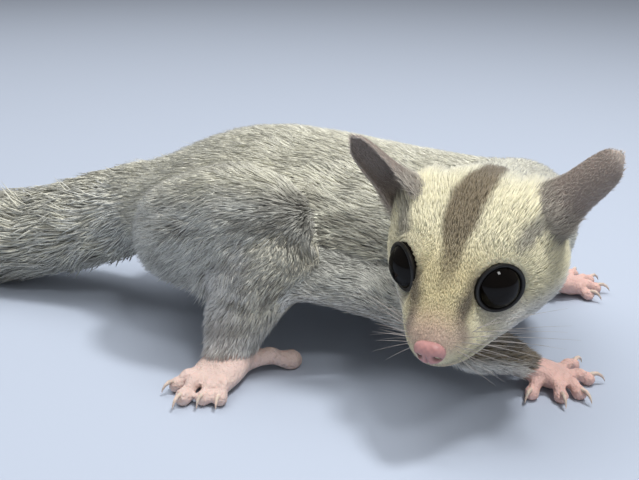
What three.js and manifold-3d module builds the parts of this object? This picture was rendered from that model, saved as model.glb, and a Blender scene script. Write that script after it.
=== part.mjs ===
// A life-size sugar glider that stands low on four feet, its head turned to its right and its tail behind.
// Millimetres, +Z up, +X the way the body faces, floor at z = 0. Each part of the body is a closed solid of
// its own, lofted through a few stations, and neighbours meet across a gap of JOINT_GAP.
import * as THREE from "three";
import { mergeVertices } from "three/addons/utils/BufferGeometryUtils.js";
import Module from "manifold-3d";

const wasm = await Module();
wasm.setup();

// Driving dimensions
const JOINT_GAP = 0.3;
const MIDDLE = [-62.1, 4.3]; // the middle of the stance, moved to the origin
const SINK = 2.5; // how far a root goes into what carries it
const PRESS = 0.5; // how far soft pads and the tail are pressed flat by the floor

// Materials
const finish = (color, roughness) => new THREE.MeshStandardMaterial({ color, roughness, metalness: 0 });
const CREAM = finish(0xd9d2b8, 0.95);
const GREY = finish(0xb3ada0, 0.95);
const TAUPE = finish(0x8c7d72, 0.8);
const PINK = finish(0xe0b0a4, 0.6);
const BLACK = finish(0x08080a, 0.08);

// Stations of the body: [x, y, z of the centre, half width, height above it, depth below it]
const TORSO = [
  [-44, 14.5, 25.5, 8, 8, 8],
  [-39, 13, 26, 11.5, 10.5, 10.5],
  [-31, 10.5, 26.5, 15.5, 13, 13],
  [-20, 7.5, 28, 19, 17, 15],
  [-8, 5, 29, 20.5, 18.2, 16],
  [6, 3, 28, 21, 17.2, 16.5],
  [20, 0, 26.5, 20.5, 16.4, 16],
  [34, -3, 25.5, 19, 16, 15],
  [45, -4, 25.5, 15.5, 14, 13],
  [52, -5, 25.5, 9, 9, 8.5],
];
const NECK = [
  [45, 3, 26, 12, 13, 12],
  [43, -7, 28, 14.5, 14.5, 13],
  [39.5, -18, 30.5, 14, 13.8, 13],
  [35, -28, 33.5, 13, 12.5, 12.5],
  [32, -35, 34.5, 9, 9, 9],
];
const ARM = {
  right: {
    upper: [
      [42, -8, 27, 7, 8, 8],
      [38, -19, 24, 7.5, 8, 8],
      [31.5, -30, 17.5, 6.5, 6.5, 6.5],
      [28, -36.5, 13.5, 4.5, 4.5, 4.5],
    ],
    fore: [
      [25.5, -37.5, 13.8, 3.5, 3.5, 3.5],
      [29, -36.8, 12.6, 5.6, 5.4, 5.6],
      [35.5, -34.5, 9.8, 5.2, 4.8, 5],
      [41, -32, 6.8, 4, 3.4, 3.6],
      [44, -31, 5.2, 3.2, 2.4, 2.6],
    ],
  },
  left: {
    upper: [
      [44, 0, 27, 7, 8, 8],
      [46, 10, 23, 7.5, 8, 8],
      [46, 20, 15.5, 6.5, 6.5, 6.5],
      [45, 25, 12.5, 4.5, 4.5, 4.5],
    ],
    fore: [
      [44, 25, 13, 3.5, 3.5, 3.5],
      [47.5, 23, 11.5, 5.8, 5.6, 5.6],
      [53, 18.5, 8.6, 5.2, 4.7, 4.7],
      [58.5, 14, 6, 4, 3.2, 3.2],
      [61, 13, 4.8, 3.2, 2.4, 2.6],
    ],
  },
};
const LEG = {
  right: {
    thigh: [
      [-36, -2, 26, 8, 9, 9],
      [-29, -9, 26.5, 11.5, 13, 12.5],
      [-18, -13, 28, 12, 14.5, 13],
      [-8, -16, 28.5, 9.5, 12, 10],
      [-2, -17.5, 28, 5, 7, 6],
    ],
    shin: [
      [-7, -18, 31, 5, 5, 5],
      [-9, -19, 26, 8.5, 9.5, 11],
      [-13, -21, 20, 8.5, 9.5, 11],
      [-16.5, -23.5, 13.5, 7, 7.5, 8],
      [-18.8, -25, 8, 5.6, 6, 6],
      [-20, -26, 5, 4.6, 4.6, 4.4],
    ],
  },
  left: {
    thigh: [
      [-35, 20, 25, 8, 9, 9],
      [-28, 24, 25, 11.5, 12, 12],
      [-17, 26, 26.5, 12, 13.5, 12.5],
      [-7, 27, 28, 9.5, 11.5, 10],
      [-1, 27, 28, 5, 7, 6],
    ],
    shin: [
      [-6, 27, 31, 5, 5, 5],
      [-8, 28.5, 26, 8.5, 9.5, 11],
      [-12, 31, 20, 8.5, 9.5, 11],
      [-15.5, 33.5, 13.5, 7, 7.5, 8],
      [-17.8, 35, 8, 5.6, 6, 6],
      [-19, 36, 5, 4.6, 4.6, 4.4],
    ],
  },
};

// The head has a frame of its own, its origin midway between the eyes: forward, left and up
const HEAD = { at: [25.5, -44, 30.8], yaw: 27, pitch: 17, roll: 1 };
// [forward, half width, top, bottom]
const SKULL = [
  [18.4, 1.4, -3.4, -6.4],
  [17.8, 2.9, -2.3, -7.9],
  [16, 4, -1.1, -9.2],
  [13, 5.1, 0.3, -10.3],
  [9.5, 6.6, 2.4, -11.2],
  [6, 8.3, 4.5, -12],
  [3, 10.6, 6.5, -12.7],
  [0, 13.2, 8.4, -13.3],
  [-3.5, 15.8, 10.8, -13.6],
  [-8, 17.6, 13, -13.6],
  [-12.5, 17.8, 14, -13],
  [-17, 16.2, 13.2, -11.6],
  [-21, 12.6, 10.4, -9],
  [-23.8, 7.6, 6.2, -5.4],
  [-25, 2.6, 2.2, -2],
];
const WIDEST = -3.6; // the height of the head's widest line
const EYE = { radius: 4.9, forward: 0.6, out: 7.9, up: 0, azimuth: 46, lift: 11 };
const EAR = { root: [-11.5, 13, 7.4], points: [-0.1, 0.74, 0.64], opens: [0.7, 0.6, -0.3], length: 16.5 };
// Rows of the ear: [share of its length, half width, depth towards the opening, depth away from it]
const EAR_LEAF = [
  [-0.2, 3, 2.2, 2.4],
  [0.08, 4, 3, 3],
  [0.35, 4.7, 3.2, 3.3],
  [0.65, 4.4, 2.7, 2.9],
  [0.88, 3.3, 1.9, 2.1],
  [1, 1.5, 0.9, 0.9],
];
const EAR_CUP = [
  [0.08, 1.6, 6, 1],
  [0.3, 3.6, 7, 2.3],
  [0.6, 3.6, 7, 2],
  [0.82, 2.6, 6, 1.2],
  [0.94, 0.9, 5, 0.2],
];

const TAIL = [
  [-40, 13.5, 27, 10.5],
  [-50, 18, 22.5, 12.3],
  [-66, 23, 17, 12.8],
  [-84, 27, 13.4, 13],
  [-108, 31, 12.8, 12.8],
  [-134, 37, 12.4, 12.4],
  [-160, 46, 11.6, 11.4],
  [-182, 56, 9.6, 9],
  [-197, 64, 7, 4.5],
];

// Hands and feet: a palm, then digits as [root x, y, z, tip x, y, z, radius, claw length]
const HAND = {
  right: {
    palm: [
      [41.5, -32.3, 6, 2.8, 2.2, 2.4],
      [44.8, -31.5, 4.6, 3.8, 2.6, 2.8],
      [48.2, -30.6, 3.2, 4.7, 2.3, 3],
      [51.2, -29.8, 2.4, 3.8, 1.6, 2.2],
    ],
    digits: [
      [45.5, -33.2, 3.2, 42.8, -37, 2, 1.5, 2.6],
      [48.4, -33.6, 2.8, 48.6, -38.2, 1.9, 1.5, 2.8],
      [50.6, -32.8, 2.6, 52.8, -36.8, 1.9, 1.5, 2.8],
      [51.8, -30.8, 2.6, 56.4, -30.6, 1.9, 1.5, 2.8],
      [51, -28.2, 2.8, 54.8, -24.6, 2.1, 1.4, 2.6],
    ],
  },
  left: {
    palm: [
      [58.5, 14, 5.4, 2.8, 2.2, 2.4],
      [61.5, 15.5, 4.6, 4, 2.6, 2.8],
      [65, 18, 3.2, 5, 2.3, 3],
      [67.5, 20.5, 2.4, 4, 1.6, 2.2],
    ],
    digits: [
      [63.2, 21, 3.2, 64.6, 26.4, 2, 1.5, 2.6],
      [65.4, 21.6, 2.8, 68.6, 27.4, 1.9, 1.5, 2.8],
      [67, 20, 2.6, 71.8, 23, 1.9, 1.5, 2.8],
      [67, 17.8, 2.6, 72, 17.4, 1.9, 1.5, 2.8],
      [64.6, 15.6, 2.8, 68.8, 12.6, 2.1, 1.4, 2.6],
    ],
  },
};
const FOOT = {
  right: {
    palm: [
      [-14.5, -22, 4, 2.6, 2.4, 2.6],
      [-17.5, -25.5, 4.6, 4.4, 3.6, 4],
      [-20.5, -29.5, 3.8, 5.6, 2.8, 3.6],
      [-22.5, -33, 2.8, 4.8, 2, 2.6],
    ],
    digits: [
      [-25, -30.5, 3.2, -29.6, -33.8, 2.1, 1.6, 2.6],
      [-24, -32, 3.2, -27.5, -39, 2.1, 1.7, 2.8],
      [-21.2, -33, 3.1, -23.4, -39.2, 2, 1.5, 2.2],
      [-18.8, -33, 3.1, -20, -39.4, 2, 1.5, 2.2],
      [-15.5, -26.5, 3.8, -5.5, -23, 2.5, 2.1, 0],
    ],
  },
  left: {
    palm: [
      [-13.5, 32, 4, 2.6, 2.4, 2.6],
      [-16.5, 35.5, 4.6, 4.4, 3.6, 4],
      [-19.5, 39.5, 3.8, 5.6, 2.8, 3.6],
      [-21.5, 43, 2.8, 4.8, 2, 2.6],
    ],
    digits: [
      [-24, 40.5, 3.2, -28.6, 43.8, 2.1, 1.6, 2.6],
      [-23, 42, 3.2, -26.5, 49, 2.1, 1.7, 2.8],
      [-20.2, 43, 3.1, -22.4, 49.2, 2, 1.5, 2.2],
      [-17.8, 43, 3.1, -19, 49.4, 2, 1.5, 2.2],
      [-14.5, 36.5, 3.8, -4.5, 33, 2.5, 2.1, 0],
    ],
  },
};
const FOLD = {
  right: [
    [-13, -25.5, 15, 1.2, 2, 2],
    [-5, -25, 19, 2.4, 4, 3.5],
    [6, -23, 17, 3, 6, 4.5],
    [17, -24, 13, 3, 5.5, 4.5],
    [27, -32.5, 10, 2.4, 3.5, 4],
    [34, -36.5, 7, 1.4, 2, 3.4],
  ],
  left: [
    [-12, 35, 15, 1.2, 2, 2],
    [-4, 32, 19, 2.4, 4, 3.5],
    [7, 28, 17, 3, 6, 4.5],
    [20, 25, 14, 3, 5.5, 4.5],
    [33, 25.5, 11, 2.6, 4.5, 4.5],
    [43, 27.5, 9.5, 1.4, 2, 3],
  ],
};

// A smooth value between rows of numbers, at a share from 0 to 1 of the way along them
function along(rows, share) {
  const place = Math.min(Math.max(share, 0), 1) * (rows.length - 1);
  const i = Math.min(Math.floor(place), rows.length - 2);
  const t = place - i;
  const row = (n) => rows[Math.min(Math.max(n, 0), rows.length - 1)];
  return rows[i].map((_, k) => {
    const [a, b, c, d] = [row(i - 1)[k], row(i)[k], row(i + 1)[k], row(i + 2)[k]];
    return b + 0.5 * t * (c - a + t * (2 * a - 5 * b + 4 * c - d + t * (3 * (b - c) + d - a)));
  });
}

// A closed solid from rings of points, each ring the same length, its ends closed by fans
function skin(rings) {
  const n = rings[0].length;
  const points = rings.flat();
  const faces = [];
  for (let i = 0; i + 1 < rings.length; i++)
    for (let j = 0; j < n; j++) {
      const [a, b] = [i * n + j, i * n + ((j + 1) % n)];
      faces.push(a, b, b + n, a, b + n, a + n);
    }
  const middle = (ring) => ring.reduce((sum, p) => sum.add(p), new THREE.Vector3()).divideScalar(n);
  const [first, last] = [points.length, points.length + 1];
  points.push(middle(rings[0]), middle(rings[rings.length - 1]));
  for (let j = 0; j < n; j++) {
    const k = (j + 1) % n;
    const end = (rings.length - 1) * n;
    faces.push(first, k, j, last, end + j, end + k);
  }
  return solidOf(points, faces);
}

function solidOf(points, faces) {
  const make = (triVerts) =>
    new wasm.Manifold(
      new wasm.Mesh({
        numProp: 3,
        vertProperties: new Float32Array(points.flatMap((p) => [p.x, p.y, p.z])),
        triVerts: new Uint32Array(triVerts),
      }),
    );
  const made = make(faces);
  if (made.volume() > 0) return made;
  return make(faces.map((_, i) => faces[i - (i % 3) + (2 - (i % 3))]));
}

// A geometry class's shape as a solid
function solidFrom(geometry) {
  const bare = geometry.clone();
  bare.deleteAttribute("normal");
  bare.deleteAttribute("uv");
  const merged = mergeVertices(bare, 1e-4);
  const place = merged.attributes.position;
  const pointAt = (_, i) => new THREE.Vector3().fromBufferAttribute(place, i);
  const points = Array.from({ length: place.count }, pointAt);
  return solidOf(points, Array.from(merged.index.array));
}

const vec = (a) => new THREE.Vector3(a[0], a[1], a[2]);
const UP = new THREE.Vector3(0, 0, 1);
const rounded = (angle, power) => Math.sign(angle) * Math.abs(angle) ** (2 / power);

// Rings through stations [x, y, z, half width, above, below], square to the line of their centres
function loft(stations, { around = 20, steps = 20, power = 2, grow = 0, up = UP } = {}) {
  const rings = [];
  for (let i = 0; i <= steps; i++) {
    const s = i / steps;
    const here = along(stations, s);
    const ahead = vec(along(stations, s + 0.01)).sub(vec(along(stations, s - 0.01))).normalize();
    const side = new THREE.Vector3().crossVectors(ahead, up).normalize();
    const top = new THREE.Vector3().crossVectors(side, ahead).normalize();
    const push = i === 0 ? -grow : i === steps ? grow : 0;
    rings.push(
      Array.from({ length: around }, (_, j) => {
        const angle = (j / around) * Math.PI * 2;
        const high = Math.sin(angle) > 0 ? here[4] : here[5];
        return vec(here)
          .addScaledVector(side, rounded(Math.cos(angle), power) * (here[3] + grow))
          .addScaledVector(top, rounded(Math.sin(angle), power) * (high + grow))
          .addScaledVector(ahead, push);
      }),
    );
  }
  return skin(rings);
}

const all = (pieces) => pieces.reduce((whole, piece) => whole.add(piece));

// The largest closed body of a solid
function largest(solid) {
  return solid.decompose().sort((a, b) => b.volume() - a.volume())[0];
}

const FLOOR_SLAB = solidFrom(new THREE.BoxGeometry(900, 900, 100).translate(0, 0, -50));
// A piece that stops short of others, given grown by the gap, and of the floor
const clearOf = (piece, ...others) =>
  largest([...others, FLOOR_SLAB].reduce((left, o) => left.subtract(o), piece));

const group = new THREE.Group();
group.position.set(-MIDDLE[0], -MIDDLE[1], 0);
function add(name, solid, material) {
  const mesh = solid.getMesh();
  const geometry = new THREE.BufferGeometry();
  geometry.setAttribute("position", new THREE.BufferAttribute(mesh.vertProperties, 3));
  geometry.setIndex(new THREE.BufferAttribute(mesh.triVerts, 1));
  geometry.computeVertexNormals();
  const piece = new THREE.Mesh(geometry, material);
  piece.name = name;
  group.add(piece);
}

// The head's frame, as a matrix from forward, left and up
function headFrame() {
  const [yaw, pitch, roll] = [HEAD.yaw, HEAD.pitch, HEAD.roll].map(THREE.MathUtils.degToRad);
  const flat = Math.cos(pitch);
  const ahead = new THREE.Vector3(-Math.sin(yaw) * flat, -Math.cos(yaw) * flat, -Math.sin(pitch));
  const level = new THREE.Vector3(Math.cos(yaw), -Math.sin(yaw), 0);
  const left = level.clone().applyAxisAngle(ahead, roll);
  const top = new THREE.Vector3().crossVectors(ahead, left);
  return new THREE.Matrix4().makeBasis(ahead, left, top).setPosition(vec(HEAD.at));
}
const HEAD_FRAME = headFrame();
const inHead = (forward, left, up) => new THREE.Vector3(forward, left, up).applyMatrix4(HEAD_FRAME);
const turned = (forward, left, up) => new THREE.Vector3(forward, left, up).transformDirection(HEAD_FRAME);

function skull(grow) {
  const [around, steps] = [24, 22];
  const rings = [];
  for (let i = 0; i <= steps; i++) {
    const [forward, half, top, bottom] = along(SKULL, i / steps);
    const push = i === 0 ? grow : i === steps ? -grow : 0;
    rings.push(
      Array.from({ length: around }, (_, j) => {
        const angle = (j / around) * Math.PI * 2;
        const middle = Math.min(WIDEST, (top * 2 + bottom * 3) / 5);
        const high = Math.sin(angle) > 0 ? top - middle : middle - bottom;
        return inHead(
          forward + push,
          rounded(Math.cos(angle), 2.1) * (half + grow),
          middle + rounded(Math.sin(angle), 2.1) * (high + grow),
        );
      }),
    );
  }
  return skin(rings);
}

const eyeAt = (side) => inHead(EYE.forward, side * EYE.out, EYE.up);
function eyeAxis(side) {
  const [azimuth, lift] = [EYE.azimuth, EYE.lift].map(THREE.MathUtils.degToRad);
  const level = Math.cos(lift);
  return turned(Math.cos(azimuth) * level, side * Math.sin(azimuth) * level, Math.sin(lift));
}
const ball = (centre, radius, wide = 20, high = 14) =>
  solidFrom(new THREE.SphereGeometry(radius, wide, high).translate(centre.x, centre.y, centre.z));

function head() {
  const lids = [1, -1].map((side) => {
    const ring = new THREE.TorusGeometry(EYE.radius * 0.9, 0.8, 5, 16);
    const turn = new THREE.Quaternion().setFromUnitVectors(UP, eyeAxis(side));
    const centre = eyeAt(side).addScaledVector(eyeAxis(side), EYE.radius * 0.42);
    ring.applyQuaternion(turn).translate(centre.x, centre.y, centre.z);
    return solidFrom(ring);
  });
  const sockets = [1, -1].map((side) => ball(eyeAt(side), EYE.radius + JOINT_GAP, 18, 10));
  const mouthLine = [1, -1].map((side) => {
    const rows = [
      [18.2, 0.2, -8.6],
      [15.5, 3.2, -7.9],
      [11.5, 4.9, -7.6],
      [7.5, 6.6, -7.4],
    ].map(([forward, left, up]) => [...inHead(forward, left * side, up).toArray(), 0.35, 0.35, 0.35]);
    return loft(rows, { around: 4, steps: 6, up: turned(0, 0, 1) });
  });
  const nostrils = [1, -1].map((side) => ball(inHead(18.3, side * 1.5, -4.6), 0.6, 8, 6));
  const hollows = [...sockets, ...mouthLine, ...nostrils];
  return hollows.reduce((left, o) => left.subtract(o), all([skull(0), ...lids]));
}

// An ear is a leaf with a cup hollowed out of its open side
function ear(side) {
  const mirrored = ([forward, left, up]) => turned(forward, left * side, up);
  const axis = mirrored(EAR.points);
  const root = inHead(EAR.root[0], EAR.root[1] * side, EAR.root[2]);
  const form = (rows) => {
    const stations = rows.map(([share, half, front, back]) => [
      ...root.clone().addScaledVector(axis, EAR.length * share).toArray(), half, front, back,
    ]);
    return loft(stations, { around: 12, steps: 7, up: mirrored(EAR.opens) });
  };
  return form(EAR_LEAF).subtract(form(EAR_CUP));
}

// A digit with its pad and its claw, standing on the floor
function digit([rx, ry, rz, tx, ty, tz, radius, claw]) {
  const [from, to] = [new THREE.Vector3(rx, ry, rz), new THREE.Vector3(tx, ty, tz)];
  const way = to.clone().sub(from);
  const flat = way.clone().setZ(0).normalize();
  const at = (share, lift) => from.clone().addScaledVector(way, share).setZ(from.z + way.z * share + lift);
  const back = from.clone().addScaledVector(flat, -SINK);
  const row = (p, r) => [p.x, p.y, p.z, r, r, r];
  const finger = loft(
    [
      row(back, radius * 1.05),
      row(from, radius * 1.05),
      row(at(0.5, radius * 0.45), radius * 0.86),
      row(at(0.82, 0), radius * 1.02),
      row(at(1, -0.1), radius * 1.05),
      row(at(1, -0.1).addScaledVector(flat, radius * 0.8), radius * 0.45),
    ],
    { around: 5, steps: 5 },
  );
  if (!claw) return finger;
  const nail = (share, lift, r) => {
    const p = at(1, 0.5 + lift).addScaledVector(flat, claw * share);
    return [p.x, p.y, p.z, r * 0.7, r, r];
  };
  return finger.add(
    loft([nail(-0.1, 0.2, 0.7), nail(0.35, 0.35, 0.6), nail(0.75, -0.3, 0.42), nail(1, -1.5, 0.2)], {
      around: 4,
      steps: 3,
    }),
  );
}
const paw = ({ palm, digits }) =>
  all([loft(palm, { around: 10, steps: 4 }), ...digits.map(digit)]).translate([0, 0, -PRESS]);

// Torso and neck
const trunk = (grow) => loft(TORSO, { around: 22, steps: 16, grow, power: 2.1 });
const skullGap = skull(JOINT_GAP);
const torso = clearOf(trunk(0), skullGap);
const torsoGap = trunk(JOINT_GAP);
const neckForm = (grow) => loft(NECK, { around: 18, steps: 6, grow });
const neckGap = neckForm(JOINT_GAP);
add("torso", torso, CREAM);
add("neck", clearOf(neckForm(0), torsoGap, skullGap), CREAM);
add("head", clearOf(head()), CREAM);

const thighGaps = [];
for (const [name, side] of [
  ["left", 1],
  ["right", -1],
]) {
  add(`eye_${name}`, ball(eyeAt(side), EYE.radius, 18, 10), BLACK);
  add(`ear_${name}`, clearOf(ear(side), skullGap, neckGap), TAUPE);

  const { upper, fore } = ARM[name];
  const armForm = (grow) =>
    loft(upper, { around: 12, steps: 7, grow }).add(loft(fore, { around: 12, steps: 7, grow }));
  const armGap = armForm(JOINT_GAP);
  add(`arm_${name}`, clearOf(armForm(0), torsoGap, neckGap, skullGap), GREY);
  add(`hand_${name}`, clearOf(paw(HAND[name]), armGap), PINK);

  const { thigh, shin } = LEG[name];
  const thighForm = (grow) => loft(thigh, { around: 16, steps: 9, grow });
  const shinForm = (grow) => loft(shin, { around: 14, steps: 9, grow, up: new THREE.Vector3(1, 0, 0) });
  const thighGap = thighForm(JOINT_GAP);
  thighGaps.push(thighGap);
  const shinGap = shinForm(JOINT_GAP);
  add(`thigh_${name}`, clearOf(thighForm(0), torsoGap), GREY);
  add(`shin_${name}`, clearOf(shinForm(0), torsoGap, thighGap), GREY);
  add(`foot_${name}`, clearOf(paw(FOOT[name]), shinGap), PINK);
  const fold = loft(FOLD[name], { around: 8, steps: 10 });
  add(`membrane_${name}`, clearOf(fold, torsoGap, thighGap, shinGap, armGap, neckGap, skullGap), CREAM);
}

// Tail: a core half as thick as the coat, under rings of flat tapered locks that lie back over one another
const TAIL_CUTS = [1 / 3, 2 / 3];
const TAIL_LENGTH = 172;
const TAPER_PAST_END = 10; // how slowly the coat thins beyond the tail's end
const LOCKS = {
  rings: 6,
  around: 5,
  stagger: 0.3, // how far a lock strays round its ring
  last: 0.88, // the last ring's share of the tail
  length: 46,
  shortest: 0.85,
  lengthSpread: 0.3,
  nearest: 0.94,
  reachSpread: 0.1,
  half: 10.5, // half the width where the coat is fullCoat deep
  fullCoat: 12,
  widthLeft: 6, // added to the depth before it sets the width, so that locks in thin coat stay broad
  thick: 2.1,
  core: 0.5,
  seed: 11,
};
// Rows along a lock: [share of its length, distance out, width and thickness as shares of the whole]
const LOCK_ROWS = [
  [0, 0.3, 0.5, 0.8],
  [0.3, 0.74, 1, 1],
  [0.65, 0.94, 0.85, 0.8],
  [1, 1, 0.12, 0.25],
];
function drawFrom(seed) {
  let state = seed;
  return () => {
    state = (state * 16807) % 2147483647;
    return state / 2147483647;
  };
}
// The tail's centre, direction and coat radius, also a little past its end
function tailAt(share) {
  const row = along(TAIL, share);
  const way = vec(along(TAIL, share + 0.01)).sub(vec(along(TAIL, share - 0.01))).normalize();
  const past = Math.max(0, share - 1) * TAIL_LENGTH;
  const radius = row[3] * Math.exp(-past / TAPER_PAST_END);
  return { centre: vec(row).addScaledVector(way, past), way, radius };
}
function lock(share, turn, draw) {
  const length = LOCKS.length * (LOCKS.shortest + LOCKS.lengthSpread * draw());
  const reach = LOCKS.nearest + LOCKS.reachSpread * draw();
  const { way } = tailAt(share);
  const side = new THREE.Vector3().crossVectors(way, UP).normalize();
  const out = side.clone().multiplyScalar(Math.cos(turn));
  out.addScaledVector(new THREE.Vector3().crossVectors(side, way), Math.sin(turn));
  const rows = LOCK_ROWS.map(([step, distance, width, thickness]) => {
    const { centre, radius } = tailAt(share + (step * length) / TAIL_LENGTH);
    const room = out.z < 0 ? (centre.z + PRESS) / -out.z : Infinity;
    const deep = LOCKS.thick * thickness;
    const p = centre.addScaledVector(out, Math.min(radius * distance * reach, room) - deep);
    const half = (LOCKS.half * width * (radius + LOCKS.widthLeft)) / (LOCKS.fullCoat + LOCKS.widthLeft);
    return [...p.toArray(), half, deep, deep];
  });
  return loft(rows, { around: 4, steps: 3, up: out });
}
const drawNext = drawFrom(LOCKS.seed);
const locks = [];
for (let ring = 0; ring < LOCKS.rings; ring++)
  for (let k = 0; k < LOCKS.around; k++) {
    const share = (ring / (LOCKS.rings - 1)) * LOCKS.last;
    const place = k + (ring % 2) / 2 + LOCKS.stagger * drawNext();
    locks.push(lock(share, (place / LOCKS.around) * 2 * Math.PI, drawNext));
  }
const coreRows = TAIL.map(([x, y, z, r]) => [x, y, z, r * LOCKS.core, r * LOCKS.core, r * LOCKS.core]);
const core = loft(coreRows, { around: 8, steps: 12 });
const wholeTail = clearOf(all([core, ...locks]), torsoGap, ...thighGaps);
const partings = TAIL_CUTS.map((share) => {
  const sheet = new THREE.BoxGeometry(90, 90, JOINT_GAP);
  const way = vec(along(TAIL, share + 0.01)).sub(vec(along(TAIL, share - 0.01))).normalize();
  const centre = vec(along(TAIL, share));
  sheet.applyQuaternion(new THREE.Quaternion().setFromUnitVectors(UP, way)).translate(...centre.toArray());
  return solidFrom(sheet);
});
const tailPieces = partings
  .reduce((left, sheet) => left.subtract(sheet), wholeTail)
  .decompose()
  .sort((a, b) => b.volume() - a.volume())
  .slice(0, TAIL_CUTS.length + 1)
  .sort((a, b) => b.boundingBox().max[0] - a.boundingBox().max[0]);
tailPieces.forEach((piece, k) => add(`tail_${k + 1}`, piece, GREY));

export default group;
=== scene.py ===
"""The finished look of a life-size sugar glider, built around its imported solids.

One skin stands for the flesh, and thousands of tapered tufts make its coat. Eyes, lids, nose, ears, claws
and whiskers are pieces of their own. Tables are in millimetres in the animal's own layout, and MM and MIDDLE
bring them to the model's frame in metres.
"""

import math

import bpy
import numpy as np
from bpy.props import FloatProperty, FloatVectorProperty, IntProperty, PointerProperty
from mathutils.kdtree import KDTree
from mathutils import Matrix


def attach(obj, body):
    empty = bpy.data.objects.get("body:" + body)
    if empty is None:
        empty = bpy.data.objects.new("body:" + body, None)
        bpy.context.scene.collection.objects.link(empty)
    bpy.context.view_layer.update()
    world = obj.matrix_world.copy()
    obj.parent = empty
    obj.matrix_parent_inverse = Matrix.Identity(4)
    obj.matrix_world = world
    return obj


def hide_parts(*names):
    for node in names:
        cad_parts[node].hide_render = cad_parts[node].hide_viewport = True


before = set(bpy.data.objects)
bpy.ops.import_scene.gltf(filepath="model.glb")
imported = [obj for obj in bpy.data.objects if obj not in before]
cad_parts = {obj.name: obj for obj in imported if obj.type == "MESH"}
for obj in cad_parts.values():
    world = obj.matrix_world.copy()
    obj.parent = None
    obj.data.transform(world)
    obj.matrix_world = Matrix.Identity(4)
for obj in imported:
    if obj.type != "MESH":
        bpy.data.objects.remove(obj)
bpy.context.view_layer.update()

bl_info = {
    "name": "Sugar glider model",
    "version": (1, 0, 0),
    "blender": (4, 5, 0),
    "location": "View3D > Sidebar > Glider",
    "description": "Builds a still, life-size sugar glider with its skin, coat and stage",
    "category": "Object",
}

MM = 0.001
MIDDLE = np.array([-62.1, 4.3, 0.0])
SEED = 20
UP = np.array([0.0, 0.0, 1.0])

# Stations of the body: [x, y, z of the centre, half width, height above it, depth below it]
TORSO = [
    [-44, 14.5, 25.5, 8, 8, 8],
    [-39, 13, 26, 11.5, 10.5, 10.5],
    [-31, 10.5, 26.5, 15.5, 13, 13],
    [-20, 7.5, 28, 19, 17, 15],
    [-8, 5, 29, 20.5, 18.2, 16],
    [6, 3, 28, 21, 17.2, 16.5],
    [20, 0, 26.5, 20.5, 16.4, 16],
    [34, -3, 25.5, 19, 16, 15],
    [45, -4, 25.5, 15.5, 14, 13],
    [52, -5, 25.5, 9, 9, 8.5],
]
NECK = [
    [45, 3, 26, 12, 13, 12],
    [43, -7, 28, 14.5, 14.5, 13],
    [39.5, -18, 30.5, 14, 13.8, 13],
    [35, -28, 33.5, 13, 12.5, 12.5],
    [32, -35, 34.5, 9, 9, 9],
]
LIMBS = {
    "upper_right": [
        [42, -8, 27, 7, 8, 8],
        [38, -19, 24, 7.5, 8, 8],
        [31.5, -30, 17.5, 6.5, 6.5, 6.5],
        [28, -36.5, 13.5, 4.5, 4.5, 4.5],
    ],
    "fore_right": [
        [25.5, -37.5, 13.8, 3.5, 3.5, 3.5],
        [29, -36.8, 12.6, 5.6, 5.4, 5.6],
        [35.5, -34.5, 9.8, 5.2, 4.8, 5],
        [41, -32, 6.8, 4, 3.4, 3.6],
        [44, -31, 5.2, 3.2, 2.4, 2.6],
    ],
    "upper_left": [
        [44, 0, 27, 7, 8, 8],
        [46, 10, 23, 7.5, 8, 8],
        [46, 20, 15.5, 6.5, 6.5, 6.5],
        [45, 25, 12.5, 4.5, 4.5, 4.5],
    ],
    "fore_left": [
        [44, 25, 13, 3.5, 3.5, 3.5],
        [47.5, 23, 11.5, 5.8, 5.6, 5.6],
        [53, 18.5, 8.6, 5.2, 4.7, 4.7],
        [58.5, 14, 6, 4, 3.2, 3.2],
        [61, 13, 4.8, 3.2, 2.4, 2.6],
    ],
    "thigh_right": [
        [-36, -2, 26, 8, 9, 9],
        [-29, -9, 26.5, 11.5, 13, 12.5],
        [-18, -13, 28, 12, 14.5, 13],
        [-8, -16, 28.5, 9.5, 12, 10],
        [-2, -17.5, 28, 5, 7, 6],
    ],
    "shin_right": [
        [-7, -18, 31, 5, 5, 5],
        [-9, -19, 26, 8.5, 9.5, 11],
        [-13, -21, 20, 8.5, 9.5, 11],
        [-16.5, -23.5, 13.5, 7, 7.5, 8],
        [-18.8, -25, 8, 5.6, 6, 6],
        [-20, -26, 5, 4.6, 4.6, 4.4],
    ],
    "thigh_left": [
        [-35, 20, 25, 8, 9, 9],
        [-28, 24, 25, 11.5, 12, 12],
        [-17, 26, 26.5, 12, 13.5, 12.5],
        [-7, 27, 28, 9.5, 11.5, 10],
        [-1, 27, 28, 5, 7, 6],
    ],
    "shin_left": [
        [-6, 27, 31, 5, 5, 5],
        [-8, 28.5, 26, 8.5, 9.5, 11],
        [-12, 31, 20, 8.5, 9.5, 11],
        [-15.5, 33.5, 13.5, 7, 7.5, 8],
        [-17.8, 35, 8, 5.6, 6, 6],
        [-19, 36, 5, 4.6, 4.6, 4.4],
    ],
}
FOLDS = {
    "fold_right": [
        [-13, -25.5, 15, 1.2, 2, 2],
        [-5, -25, 19, 2.4, 4, 3.5],
        [6, -23, 17, 3, 6, 4.5],
        [17, -24, 13, 3, 5.5, 4.5],
        [27, -32.5, 10, 2.4, 3.5, 4],
        [34, -36.5, 7, 1.4, 2, 3.4],
    ],
    "fold_left": [
        [-12, 35, 15, 1.2, 2, 2],
        [-4, 32, 19, 2.4, 4, 3.5],
        [7, 28, 17, 3, 6, 4.5],
        [20, 25, 14, 3, 5.5, 4.5],
        [33, 25.5, 11, 2.6, 4.5, 4.5],
        [43, 27.5, 9.5, 1.4, 2, 3],
    ],
}
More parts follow.
